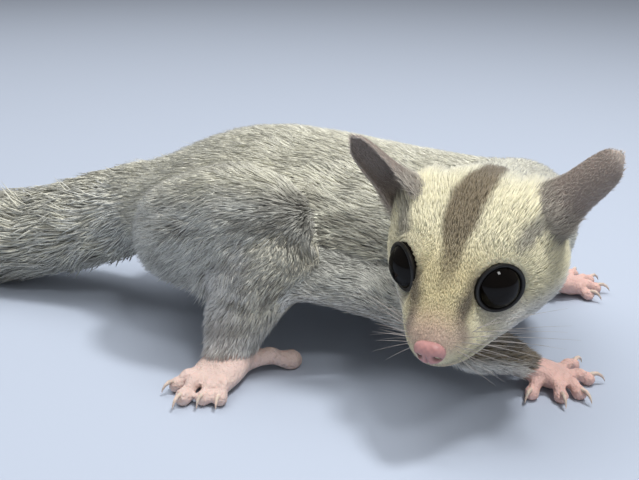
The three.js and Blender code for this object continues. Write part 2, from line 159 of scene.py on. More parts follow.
# The head has a frame of its own, its origin midway between the eyes: forward, left and up
HEAD = {"at": [25.5, -44, 30.8], "yaw": 27, "pitch": 17, "roll": 1}
# [forward, half width, top, bottom]
SKULL = [
    [17.5, 1.2, -4.4, -6.8],
    [16.7, 2.5, -3.2, -8.2],
    [15.2, 4.3, -1.3, -9.7],
    [12.8, 6.0, 0.3, -11.0],
    [9.5, 7.8, 2.4, -11.9],
    [6, 9.4, 4.5, -12.6],
    [3, 11.3, 6.5, -13.0],
    [0, 13.2, 8.4, -13.3],
    [-3.5, 15.8, 10.8, -13.6],
    [-8, 17.6, 13, -13.6],
    [-12.5, 17.8, 14, -13],
    [-17, 16.2, 13.2, -11.6],
    [-21, 12.6, 10.4, -9],
    [-23.8, 7.6, 6.2, -5.4],
    [-25, 2.6, 2.2, -2],
]
WIDEST = -3.6  # the height of the head's widest line
# Each eye's middle in the head's frame, the head being a little askew, and the way both look, in degrees
EYES = {1: [0.5, 6.7, -0.5], -1: [0.5, -8.1, 0.7]}
EYE = {"azimuth": 43, "lift": 9}
BALL = 5.0  # the ball that shows between the lids
OPENING = 4.35  # half the width of the opening between the lids
LID_EDGE = 0.5  # from the opening to the skin beside it
LID_DEPTH = 2.35  # how far the skin beside the opening stands in front of the eye's middle
LID_COVER = 0.28  # the skin over the ball outside the opening
EAR = {"root": [-11.5, 13, 7.4], "length": {"left": 17.9, "right": 16.3}}
# The way each ear opens in the head's frame, as the two are turned apart
EAR_OPENS = {"left": [-0.55, 0.1, -0.6], "right": [0.9, -0.5, 0.15]}
EAR_POINTS = {"left": [-0.1, 0.71, 0.70], "right": [-0.1, -0.74, 0.64]}
# Rows of the ear: [share of its length, half width, depth of its curl, turn of each edge in degrees]
EAR_ROWS = [
    [-0.7, 1.6, 1.2, 126],
    [-0.35, 3.4, 2.4, 124],
    [0.0, 4.7, 3.2, 118],
    [0.2, 4.3, 3.0, 110],
    [0.4, 3.9, 2.6, 102],
    [0.6, 3.7, 2.3, 98],
    [0.8, 3.4, 1.9, 92],
    [0.94, 2.7, 1.3, 88],
    [1.02, 1.2, 0.7, 84],
]
# [x, y, z, radius of the coat, share of it that is flesh]
TAIL = [
    [-40, 13.5, 27, 10.5, 0.9],
    [-50, 18, 22.5, 12.3, 0.78],
    [-66, 23, 17, 12.8, 0.62],
    [-84, 27, 13.4, 13, 0.52],
    [-108, 31, 12.8, 12.8, 0.5],
    [-134, 37, 12.4, 12.4, 0.5],
    [-160, 46, 11.6, 11.4, 0.5],
    [-182, 56, 9.6, 9, 0.5],
    [-197, 64, 7, 4.5, 0.5],
]
# Hands and feet: a palm, then digits as [root x, y, z, tip x, y, z, radius, claw length]
RIGHT_FOOT = (
    [
        [-14.5, -22, 4, 2.6, 2.4, 2.6],
        [-17.5, -25.5, 4.6, 4.4, 3.6, 4],
        [-20.5, -29.5, 3.8, 5.6, 2.8, 3.6],
        [-23, -34.4, 2.5, 5.1, 1.9, 2.4],
    ],
    [
        [-25, -30.5, 3.2, -29.6, -33.8, 2.1, 1.6, 2.6],
        [-24, -32, 3.2, -27.5, -39, 2.1, 1.7, 2.8],
        [-21.2, -33, 3.1, -23.4, -39.2, 2, 1.5, 2.2],
        [-18.8, -33, 3.1, -20, -39.4, 2, 1.5, 2.2],
        [-15.5, -26.5, 3.8, -5.5, -23, 2.5, 2.1, 0],
    ],
)


def left_foot(palm, digits):
    """The right foot mirrored, a little further forward."""
    mirrored = [[x + 1, 10 - y, *rest] for x, y, *rest in palm]
    return mirrored, [[a + 1, 10 - b, c, d + 1, 10 - e, *rest] for a, b, c, d, e, *rest in digits]


PAWS = {
    "hand_right": (
        [
            [41.5, -32.3, 6, 2.8, 2.2, 2.4],
            [44.8, -31.5, 4.6, 3.8, 2.6, 2.8],
            [48.2, -30.6, 3.2, 4.7, 2.3, 3],
            [51.2, -29.8, 2.4, 3.8, 1.6, 2.2],
        ],
        [
            [45.5, -33.2, 3.2, 42.8, -37, 2, 1.5, 2.6],
            [48.4, -33.6, 2.8, 48.6, -38.2, 1.9, 1.5, 2.8],
            [50.6, -32.8, 2.6, 52.8, -36.8, 1.9, 1.5, 2.8],
            [51.8, -30.8, 2.6, 56.4, -30.6, 1.9, 1.5, 2.8],
            [51, -28.2, 2.8, 54.8, -24.6, 2.1, 1.4, 2.6],
        ],
    ),
    "hand_left": (
        [
            [58.5, 14, 5.4, 2.8, 2.2, 2.4],
            [61.5, 15.5, 4.6, 4, 2.6, 2.8],
            [65, 18, 3.2, 5, 2.3, 3],
            [67.5, 20.5, 2.4, 4, 1.6, 2.2],
        ],
        [
            [63.2, 21, 3.2, 64.6, 26.4, 2, 1.5, 2.6],
            [65.4, 21.6, 2.8, 68.6, 27.4, 1.9, 1.5, 2.8],
            [67, 20, 2.6, 71.8, 23, 1.9, 1.5, 2.8],
            [67, 17.8, 2.6, 72, 17.4, 1.9, 1.5, 2.8],
            [64.6, 15.6, 2.8, 68.8, 12.6, 2.1, 1.4, 2.6],
        ],
    ),
    "foot_right": RIGHT_FOOT,
    "foot_left": left_foot(*RIGHT_FOOT),
}
PRESS = 0.5  # how far soft pads are pressed flat by the floor

# Per region: depth of the coat over the skin, length and width of a tuft, tufts per square millimetre
REGIONS = ["torso", "neck", "head", "arm", "thigh", "shin", "fold", "tail", "paw"]
COAT = {
    "torso": (2.0, 4.6, 0.30, 9.0),
    "neck": (1.9, 4.4, 0.29, 9.0),
    "head": (1.0, 2.3, 0.15, 21.0),
    "arm": (1.1, 3.2, 0.27, 10.0),
    "thigh": (2.0, 4.6, 0.30, 9.5),
    "shin": (1.3, 3.4, 0.27, 10.0),
    "fold": (1.1, 4.0, 0.29, 9.0),
    "tail": (6.6, 11.5, 0.44, 5.6),
    "paw": (0.0, 1.0, 0.2, 0.0),
}

# Coat and skin colours, linear
CREAM = np.array([0.84, 0.79, 0.57])
WHITE = np.array([0.88, 0.87, 0.82])
IVORY = np.array([0.85, 0.83, 0.70])
PALE_GREY = np.array([0.64, 0.64, 0.585])
GREY = np.array([0.345, 0.325, 0.28])
DARK = np.array([0.13, 0.112, 0.092])
STRIPE = np.array([0.15, 0.107, 0.054])
PINK = np.array([0.74, 0.50, 0.43])
EAR_TAUPE = np.array([0.25, 0.205, 0.18])
EAR_INSIDE = np.array([0.42, 0.23, 0.17])
NOSE_PINK = np.array([0.48, 0.25, 0.235])
EAR_RIM = np.array([0.6, 0.52, 0.46])


# Numbers and curves
def smoothstep(low, high, value):
    t = np.clip((value - low) / (high - low), 0, 1)
    return t * t * (3 - 2 * t)


def unit(v):
    return v / np.maximum(np.linalg.norm(v, axis=-1, keepdims=True), 1e-9)


def blend(a, b, t):
    return a + (b - a) * np.asarray(t)[..., None]


def waves(points, size, seed, octaves=3):
    """A smooth pattern from -1 to 1 made of sine waves about size long."""
    rng = np.random.default_rng(seed)
    total = np.zeros(len(points))
    for octave in range(octaves):
        k = rng.normal(size=(5, 3)) * (2 ** octave) * 2.2 / size
        phase = rng.uniform(0, 2 * np.pi, 5)
        total += np.sin(points @ k.T + phase).sum(axis=1) / (5 ** 0.5) / (1.6 ** octave)
    return np.clip(total * 0.75, -1, 1)


def along(rows, share):
    """Smooth values between rows, at shares from 0 to 1."""
    rows = np.asarray(rows, float)
    place = np.clip(np.asarray(share, float), 0, 1) * (len(rows) - 1)
    i = np.minimum(place.astype(int), len(rows) - 2)
    t = (place - i)[..., None]
    a, b, c, d = (rows[np.clip(i + n, 0, len(rows) - 1)] for n in (-1, 0, 1, 2))
    return b + 0.5 * t * (c - a + t * (2 * a - 5 * b + 4 * c - d + t * (3 * (b - c) + d - a)))


def rounded(value, power):
    return np.sign(value) * np.abs(value) ** (2 / power)


def loft(stations, around=28, steps=40, power=2.0, grow=0.0, up=UP):
    """Rings of points through stations, square to the line of their centres, and each ring's way."""
    share = np.linspace(0, 1, steps + 1)
    here = along(stations, share)
    ahead = unit(along(stations, share + 0.01)[:, :3] - along(stations, share - 0.01)[:, :3])
    side = unit(np.cross(ahead, up))
    top = np.cross(side, ahead)
    angle = np.linspace(0, 2 * np.pi, around, endpoint=False)
    high = np.where(np.sin(angle)[None, :] > 0, here[:, 4:5], here[:, 5:6])
    grow = np.broadcast_to(grow, share.shape)[:, None]
    wide = rounded(np.cos(angle), power) * np.maximum(here[:, 3:4] + grow, 0.4)
    tall = rounded(np.sin(angle), power) * np.maximum(high + grow, 0.4)
    points = here[:, None, :3] + side[:, None] * wide[..., None] + top[:, None] * tall[..., None]
    return points, ahead


def closed(points):
    """The faces that close rings of points, with a fan at each end."""
    rings, n = points.shape[:2]
    flat = points.reshape(-1, 3)
    i, j = np.meshgrid(np.arange(rings - 1), np.arange(n), indexing="ij")
    a, b = (i * n + j).ravel(), (i * n + (j + 1) % n).ravel()
    quads = np.concatenate([np.stack([a, b, b + n], 1), np.stack([a, b + n, a + n], 1)])
    k = np.arange(n)
    after = (k + 1) % n
    end = (rings - 1) * n
    first_cap = np.stack([np.full(n, len(flat)), after, k], 1)
    last_cap = np.stack([np.full(n, len(flat) + 1), end + k, end + after], 1)
    flat = np.vstack([flat, points[0].mean(0), points[-1].mean(0)])
    return flat, np.concatenate([quads, first_cap, last_cap])


def facing_out(verts, faces):
    """The faces of a closed shape, turned over if they face inward."""
    a, b, c = (verts[faces[:, k]] for k in range(3))
    return faces if np.einsum("ij,ij->i", a, np.cross(b, c)).sum() > 0 else faces[:, ::-1]


def head_axes():
    yaw, pitch, roll = (math.radians(HEAD[k]) for k in ("yaw", "pitch", "roll"))
    ahead = np.array([-math.sin(yaw) * math.cos(pitch), -math.cos(yaw) * math.cos(pitch), -math.sin(pitch)])
    level = np.array([math.cos(yaw), -math.sin(yaw), 0.0])
    left = level * math.cos(roll) + np.cross(ahead, level) * math.sin(roll)
    return np.stack([ahead, left, np.cross(ahead, left)])


HEAD_AXES = head_axes()


def in_head(places):
    return np.asarray(places, float) @ HEAD_AXES + np.array(HEAD["at"], float)


def of_head(points):
    """Forward, left and up in the head's frame."""
    return (points - np.array(HEAD["at"], float)) @ HEAD_AXES.T


def eye_centre(side):
    return in_head(EYES[side])


def eye_axis(side):
    azimuth, lift = math.radians(EYE["azimuth"]), math.radians(EYE["lift"])
    level = math.cos(lift)
    return np.array([math.cos(azimuth) * level, side * math.sin(azimuth) * level, math.sin(lift)]) @ HEAD_AXES


def ear_root(side):
    """The foot of an ear, on the left for 1 and the right for -1."""
    return in_head(np.array(EAR["root"]) * np.array([1, side, 1]))


def nearest_of(points, places):
    """How far each point is from the nearest of a few places."""
    return np.min([np.linalg.norm(points - place, axis=1) for place in places], axis=0)


def skull(grow, around=44, steps=70):
    """Rings of points over the head, from the nose back, grown by so much."""
    share = np.linspace(0, 1, steps + 1)
    forward, half, top, bottom = along(SKULL, share).T
    angle = np.linspace(0, 2 * np.pi, around, endpoint=False)
    middle = np.minimum(WIDEST, (top * 2 + bottom * 3) / 5)
    high = np.where(np.sin(angle)[None, :] > 0, (top - middle)[:, None], (middle - bottom)[:, None])
    grow = np.broadcast_to(grow, share.shape)[:, None]
    places = np.stack(
        [
            np.broadcast_to((forward + grow[:, 0] * np.linspace(1, -1, steps + 1))[:, None], high.shape),
            rounded(np.cos(angle), 2.1) * np.maximum(half[:, None] + grow, 0.4),
            middle[:, None] + rounded(np.sin(angle), 2.1) * np.maximum(high + grow, 0.4),
        ],
        axis=-1,
    )
    return in_head(places)


# Meshes
def mesh_object(name, verts_mm, faces, material, colours=None, colour_name="Coat", uv=None):
    """A piece from arrays: vertices in the layout's millimetres, triangles, and optional colours and UV."""
    mesh = bpy.data.meshes.new(name)
    verts = (np.asarray(verts_mm) - MIDDLE) * MM
    faces = np.asarray(faces, dtype=np.int32)
    mesh.vertices.add(len(verts))
    mesh.vertices.foreach_set("co", verts.astype(np.float32).ravel())
    mesh.loops.add(faces.size)
    mesh.loops.foreach_set("vertex_index", faces.ravel())
    mesh.polygons.add(len(faces))
    mesh.polygons.foreach_set("loop_start", np.arange(0, faces.size, 3, dtype=np.int32))
    mesh.update(calc_edges=True)
    mesh.polygons.foreach_set("use_smooth", np.full(len(faces), True))
    if colours is not None:
        layer = mesh.color_attributes.new(colour_name, "FLOAT_COLOR", "POINT")
        rgba = np.concatenate([colours, np.ones((len(colours), 1))], axis=1)
        layer.data.foreach_set("color", rgba.astype(np.float32).ravel())
    if uv is not None:
        layer = mesh.uv_layers.new(name="OFBake")
        layer.data.foreach_set("uv", uv.astype(np.float32).ravel())
    mesh.materials.append(material)
    mesh.validate()
    piece = bpy.data.objects.new(name, mesh)
    bpy.context.scene.collection.objects.link(piece)
    return piece


def finish_piece(piece, nodes=()):
    """Gives a piece its body and the nodes that it stands for."""
    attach(piece, "root")
    if nodes:
        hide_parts(*nodes)


def arrays_of(mesh):
    """A mesh as vertices in the layout's millimetres and triangles."""
    verts = np.empty(len(mesh.vertices) * 3, np.float32)
    mesh.vertices.foreach_get("co", verts)
    mesh.calc_loop_triangles()
    faces = np.empty(len(mesh.loop_triangles) * 3, np.int32)
    mesh.loop_triangles.foreach_get("vertices", faces)
    return verts.reshape(-1, 3).astype(float) / MM + MIDDLE, faces.reshape(-1, 3)


def vertex_normals(verts, faces):
    a, b, c = (verts[faces[:, k]] for k in range(3))
    face = np.cross(b - a, c - a)
    normals = np.zeros_like(verts)
    for k in range(3):
        np.add.at(normals, faces[:, k], face)
    return unit(normals)


def spread(values, faces, rounds):
    """Values averaged with their neighbours over a mesh, a number of rounds."""
    edges = np.concatenate([faces[:, [0, 1]], faces[:, [1, 2]], faces[:, [2, 0]]])
    count = np.bincount(edges.ravel(), minlength=len(values))[:, None] + 1.0
    for _ in range(rounds):
        total = values.copy()
        for column in range(values.shape[1]):
            total[:, column] += np.bincount(edges[:, 0], values[edges[:, 1], column], len(values))
            total[:, column] += np.bincount(edges[:, 1], values[edges[:, 0], column], len(values))
        values = total / count
    return values


# Materials
GLOW_RADIUS = (0.002, 0.0008, 0.0005)  # how far red, green and blue light spread in bare skin


def new_material(name, sockets):
    """A material with its shader's sockets set, its nodes, its links and its shader."""
    material = bpy.data.materials.new(name)
    material.use_nodes = True
    nodes = material.node_tree.nodes
    shader = nodes["Principled BSDF"]
    for socket, value in sockets.items():
        shader.inputs[socket].default_value = value
    return material, nodes, material.node_tree.links, shader


def noise_node(nodes, links, scale, detail=3.0):
    where = nodes.new("ShaderNodeTexCoord")
    noise = nodes.new("ShaderNodeTexNoise")
    noise.inputs["Scale"].default_value = scale
    noise.inputs["Detail"].default_value = detail
    links.new(where.outputs["Object"], noise.inputs["Vector"])
    return noise


def bump_from(nodes, links, height_output, strength, distance, shader, before=None):
    bump = nodes.new("ShaderNodeBump")
    bump.inputs["Strength"].default_value = strength
    bump.inputs["Distance"].default_value = distance
    links.new(height_output, bump.inputs["Height"])
    if before is not None:
        links.new(before.outputs["Normal"], bump.inputs["Normal"])
    links.new(bump.outputs["Normal"], shader.inputs["Normal"])
    return bump


def painted(name, layer, scale, detail, tones, sockets):
    """A material coloured by the piece's own vertex colours, times tones that a fine noise picks."""
    material, nodes, links, shader = new_material(name, sockets)
    colour = nodes.new("ShaderNodeAttribute")
    colour.attribute_name = layer
    grain = noise_node(nodes, links, scale, detail)
    tone = nodes.new("ShaderNodeMapRange")
    tone.inputs["To Min"].default_value, tone.inputs["To Max"].default_value = tones
    links.new(grain.outputs["Fac"], tone.inputs["Value"])
    shaded = nodes.new("ShaderNodeVectorMath")
    shaded.operation = "SCALE"
    links.new(colour.outputs["Color"], shaded.inputs[0])
    links.new(tone.outputs["Result"], shaded.inputs["Scale"])
    links.new(shaded.outputs["Vector"], shader.inputs["Base Color"])
    return material, nodes, links, shader, grain


def coat_material(sheen):
    sockets = {"Roughness": 0.72, "Specular IOR Level": 0.25, "Sheen Weight": sheen, "Sheen Roughness": 0.5}
    return painted("coat", "Coat", 900.0, 3.0, (0.86, 1.14), sockets)[0]


def skin_material():
    """Skin with blotches, under a net of creases and finer wrinkles."""
    sockets = {"Roughness": 0.48, "Subsurface Weight": 0.12, "Subsurface Radius": GLOW_RADIUS}
    material, nodes, links, shader, _ = painted("skin_under_coat", "Skin", 260.0, 4.0, (0.82, 1.16), sockets)
    creases = nodes.new("ShaderNodeTexVoronoi")
    creases.feature = "DISTANCE_TO_EDGE"
    creases.inputs["Scale"].default_value = 1000.0
    where = nodes.new("ShaderNodeTexCoord")
    links.new(where.outputs["Object"], creases.inputs["Vector"])
    first = bump_from(nodes, links, creases.outputs["Distance"], 0.6, 0.0005, shader)
    wrinkles = noise_node(nodes, links, 700.0, 5.0)
    bump_from(nodes, links, wrinkles.outputs["Fac"], 0.9, 0.0007, shader, first)
    return material


def bare_skin(name, scale, roughness, bump):
    """Bare skin coloured by the piece's own vertex colours, with a fine grain."""
    sockets = {"Roughness": roughness, "Subsurface Weight": 0.15, "Subsurface Radius": GLOW_RADIUS}
    material, nodes, links, shader, grain = painted(name, "Skin", scale, 5.0, (0.80, 1.2), sockets)
    bump_from(nodes, links, grain.outputs["Fac"], bump, 0.0003, shader)
    return material


def two_tone(name, tones, scale, sockets, bump=0.0, detail=4.0, stops=(0.3, 0.7)):
    """Horn, hair, lid or eye: two tones mixed by a fine noise, with a bump of the same grain."""
    material, nodes, links, shader = new_material(name, sockets)
    grain = noise_node(nodes, links, scale, detail)
    ramp = nodes.new("ShaderNodeValToRGB")
    for stop, place, tone in zip(ramp.color_ramp.elements, stops, tones):
        stop.position = place
        stop.color = (*tone, 1)
    links.new(grain.outputs["Fac"], ramp.inputs["Fac"])
    links.new(ramp.outputs["Color"], shader.inputs["Base Color"])
    if bump:
        bump_from(nodes, links, grain.outputs["Fac"], bump, 0.0002, shader)
    return material


# The body's forms
def digit_stations(row):
    """Stations of a digit with its knuckles and its pad."""
    start, tip, radius = np.array(row[:3], float), np.array(row[3:6], float), row[6]
    way = tip - start
    flat = unit(way * np.array([1, 1, 0]))

    def at(share, lift, push=0.0):
        return start + way * share + UP * lift + flat * push

    rows = [
        (at(0, 0, -2.5), 1.05),
        (at(0, 0), 1.0),
        (at(0.28, radius * 0.3), 0.86),
        (at(0.5, radius * 0.5), 0.94),
        (at(0.66, radius * 0.2), 0.8),
        (at(0.84, 0), 1.0),
        (at(1, -0.1), 1.06),
        (at(1, -0.1, radius * 0.8), 0.5),
    ]
    return [[*place, radius * k, radius * k, radius * k] for place, k in rows]


def web_form(stations, side):
    """The sheet of the membrane from the fold's line in to the flank."""
    share = np.linspace(0.06, 0.94, 41)
    outer = along(stations, share)[:, :3]
    flank = np.array([[x, y + side * (half - 7), z - 3] for x, y, z, half, _, _ in TORSO])
    inner = np.stack([np.interp(outer[:, 0], flank[:, 0], flank[:, k]) for k in range(3)], 1)
    angle = np.linspace(0, 2 * np.pi, 24, endpoint=False)
    reach, middle = (outer - inner) / 2, (outer + inner) / 2
    thick = UP * (1.6 + 1.2 * np.sin(np.pi * share))[:, None, None]
    around, upward = np.cos(angle)[None, :, None], np.sin(angle)[None, :, None]
    grid = middle[:, None] + around * reach[:, None] + upward * thick
    way = np.gradient(outer, axis=0)
    return grid, -unit(way)


def body_forms():
    """Every form of the flesh: name, points, lie of the coat along each ring, region."""
    depth = {name: COAT[name][0] for name in REGIONS}
    forms = []

    def add(name, region, stations, sign, inset, **how):
        points, ahead = loft(stations, grow=-inset, **how)
        forms.append((name, region, points, ahead * sign))

    add("torso", "torso", TORSO, -1, depth["torso"], around=40, steps=60, power=2.1)
    add("neck", "neck", NECK, -1, depth["neck"], around=36, steps=36)
    face = np.interp(np.linspace(0, 1, 71), [0, 0.22, 0.45, 0.6, 1], [0.1, 0.2, 0.4, 1.0, 1.2])
    forms.append(("head", "head", skull(-face), np.broadcast_to(-HEAD_AXES[0], (71, 3))))
    for side in (1, -1):
        socket, _ = ball_mesh(eye_centre(side), BALL + 0.3, eye_axis(side), 24, 16)
        grid = socket[:-2].reshape(-1, 24, 3)
        forms.append(("brow", "head", grid, np.broadcast_to(-HEAD_AXES[0], (len(grid), 3))))
    for name, stations in LIMBS.items():
        kind = name.split("_")[0]
        region = "arm" if kind in ("upper", "fore") else kind
        up = np.array([1.0, 0, 0]) if kind == "shin" else UP
        add(name, region, stations, -1 if kind == "thigh" else 1, depth[region], up=up)
        if kind == "thigh":
            forms[-1] = (*forms[-1][:3], unit(forms[-1][3] - UP * 0.7))
    for name, stations in FOLDS.items():
        add(name, "fold", stations, -1, depth["fold"], around=20)
        forms.append(("web", "fold", *web_form(stations, 1 if name == "fold_left" else -1)))
    tail = [[x, y, z - 0.5, r * core, r * core, r * core] for x, y, z, r, core in TAIL]
    add("tail", "tail", tail, 1, 0.0, around=24, steps=80)
    for name, (palm, digits) in PAWS.items():
        lower = np.array([0, 0, -PRESS])
        for stations in [palm] + [digit_stations(row) for row in digits]:
            points, ahead = loft(stations, around=16, steps=24)
            forms.append((name, "paw", points + lower, ahead))
    return forms


def eye_sockets(verts):
    """Opens the skin over each eye, so that its edge closes round the ball as lids."""
    for side in (1, -1):
        centre, axis = eye_centre(side), eye_axis(side)
        away = verts - centre
        far = np.linalg.norm(away, axis=1)
        across = np.linalg.norm(away - axis * (away @ axis)[:, None], axis=1)
        front = smoothstep(0.0, 1.0, away @ axis)
        inside = smoothstep(OPENING + 0.62, OPENING + 0.3, across) * front * (far < BALL + 2.5)
        sunk = far + (BALL - 0.7 - far) * inside
        target = np.where(inside > 0, np.minimum(far, sunk), far)
        # Skin beyond the opening stays outside the ball
        cover = front * (across >= OPENING + LID_EDGE) * (far < BALL + LID_COVER)
        target = np.where(cover > 0, BALL + LID_COVER, target)
        verts = centre + away * (target / np.maximum(far, 0.01))[:, None]
        # No skin rises in front of the lid: the cheek stays behind a cone that opens from its edge
        away = verts - centre
        out = away @ axis
        across = np.linalg.norm(away - axis * out[:, None], axis=1)
        cone = LID_DEPTH + 0.9 * np.maximum(across - OPENING - LID_EDGE, 0)
        near = smoothstep(14, 10, np.linalg.norm(away, axis=1))
        verts = verts - axis * (np.maximum(out - cone, 0) * near)[:, None]
    return verts


def head_details(verts):
    """Presses the mouth line into the skin of the head."""
    f, l, u = of_head(verts).T
    side = np.abs(l)
    line_up = np.interp(f, [5, 8, 12, 15.5, 18], [-7.2, -7.4, -7.6, -7.9, -8.6])
    near = np.exp(-(((u - line_up) / 0.45) ** 2)) * smoothstep(5.5, 8, f) * (side > 0.3)
    inward = np.stack([np.zeros_like(f), -np.sign(l), np.zeros_like(f)], 1) @ HEAD_AXES
    return verts + inward * (near * 0.55)[:, None]


def nearest_marks(verts, forms):
    """For each vertex: the lie of the coat, the numbers of its region and form, and its place on the form."""
    marks, lies, regions, owners, places = [], [], [], [], []
    for owner, (_, region, points, way) in enumerate(forms):
        rings, n = points.shape[:2]
        marks.append(points.reshape(-1, 3))
        lies.append(np.repeat(way, n, axis=0))
        regions.append(np.full(rings * n, REGIONS.index(region)))
        owners.append(np.full(rings * n, owner))
        i, j = np.meshgrid(np.arange(rings) / (rings - 1), np.arange(n) / n, indexing="ij")
        places.append(np.stack([i.ravel(), j.ravel()], 1))
    marks, lies = np.concatenate(marks), np.concatenate(lies)
    regions, owners, places = np.concatenate(regions), np.concatenate(owners), np.concatenate(places)
    tree = KDTree(len(marks))
    for index, mark in enumerate(marks):
        tree.insert(mark, index)
    tree.balance()
    found = np.array([tree.find(v)[1] for v in verts])
    return lies[found], regions[found], owners[found], places[found]


def soften_joins(verts, faces, region):
    """Melts the creases where limbs, neck and trunk meet, away from the face and the paws."""
    behind = smoothstep(-7, -15, of_head(verts)[:, 0])
    weight = np.where(region == REGIONS.index("head"), behind, 1.0)
    weight = np.where(region == REGIONS.index("paw"), 0.0, weight)
    weight = spread(weight[:, None], faces, 12)
    for _ in range(12):
        verts = verts + weight * (spread(verts, faces, 5) - verts)
    return verts + vertex_normals(verts, faces) * weight * 0.35


# Markings and painted shade
def distance_to_line(points, start, end):
    start, end = np.array(start, float), np.array(end, float)
    way = end - start
    t = np.clip((points - start) @ way / (way @ way), 0, 1)
    return np.linalg.norm(points - start - t[:, None] * way, axis=1)


def head_colours(points):
    """The markings of the head and the painted shade on its face, from places in its own frame."""
    f, l, u = of_head(points).T
    side = np.abs(l)
    place = np.stack([f, side, u], 1)
    colour = np.broadcast_to(CREAM, points.shape).copy()
    cheek = smoothstep(-1.5, -6.5, u) * smoothstep(12, 2, f)
    colour = blend(colour, WHITE * 0.95, cheek)
    crown = smoothstep(-9, -15, f)
    colour = blend(colour, IVORY, crown * 0.7)
    mottle = waves(points, 3.2, 5)
    # Stripe over the crown
    wide = np.interp(f, [-20, -16, -11, -6, -1, 3, 7, 10], [1.4, 2.3, 3.1, 3.4, 2.9, 2.0, 1.2, 0.6])
    wobble = 0.3 * waves(points, 6.0, 9)
    drift = np.interp(f, [-16, -12, -8, -4, 0], [2.3, 1.7, 0.9, 0.3, 0.0])
    stripe = smoothstep(wide + 0.8, wide - 0.9, np.abs(l - drift + wobble))
    stripe *= smoothstep(-22, -17, f) * (u > -1)
    stripe *= np.interp(f, [-6, 0, 4, 7, 11], [1, 0.95, 0.75, 0.45, 0])
    colour = blend(colour, STRIPE, stripe * 0.92)
    # From the eye back to the ear, and below the ear
    band = distance_to_line(place, [-3.8, 11.7, 6.0], [-9.8, 13.9, 7.9])
    colour = blend(colour, GREY * 0.8, smoothstep(3.0, 0.5, band + mottle) * 0.8)
    below = distance_to_line(place, [-9.0, 16.3, 3.8], [-14, 16.2, 4.0])
    colour = blend(colour, DARK * 1.5, smoothstep(3.0, 0.5, below + mottle * 1.4) * 0.8)
    # Round the eye, its inner corner and the side of the muzzle
    ring = nearest_of(points, [eye_centre(s) for s in (1, -1)])
    colour = blend(colour, DARK * 0.8, smoothstep(5.6, 4.8, ring) * 0.75)
    corner = distance_to_line(place, [4.8, 6.2, 1.8], [9.6, 4.9, 0.3])
    colour = blend(colour, DARK * 1.2, smoothstep(3.2, 0.6, corner + 0.3 * mottle) * 0.92)
    muzzle = distance_to_line(place, [12.0, 4.6, -1.0], [13.4, 5.6, -3.6])
    colour = blend(colour, DARK * 1.5, smoothstep(2.3, 0.4, muzzle + 0.5 * mottle) * 0.8)
    # The upper front of the face is tan, and it is also darkened as painted shade on the front of the face
    tan_and_shade = smoothstep(-2, 7, f) * smoothstep(-4, 0, u)
    colour = blend(colour, colour * np.array([0.76, 0.70, 0.56]), tan_and_shade * 0.9)
    bridge = smoothstep(10.0, 16.5, f) * smoothstep(-7.5, -3, u)
    colour = blend(colour, PINK * 0.85, bridge * 0.75)
    # A dark line along the mouth: painted shade in the crease between the lips
    below = u - np.interp(f, [6, 12, 16], [-7.2, -7.6, -8.0])
    mouth = np.exp(-((below / 0.45) ** 2)) * smoothstep(6, 9, f)
    colour = blend(colour, DARK * 1.6, mouth * 0.6)
    lip = smoothstep(12, 15, f) * smoothstep(-8.2, -9.2, u)
    return blend(colour, PINK * 0.9, lip * 0.6)


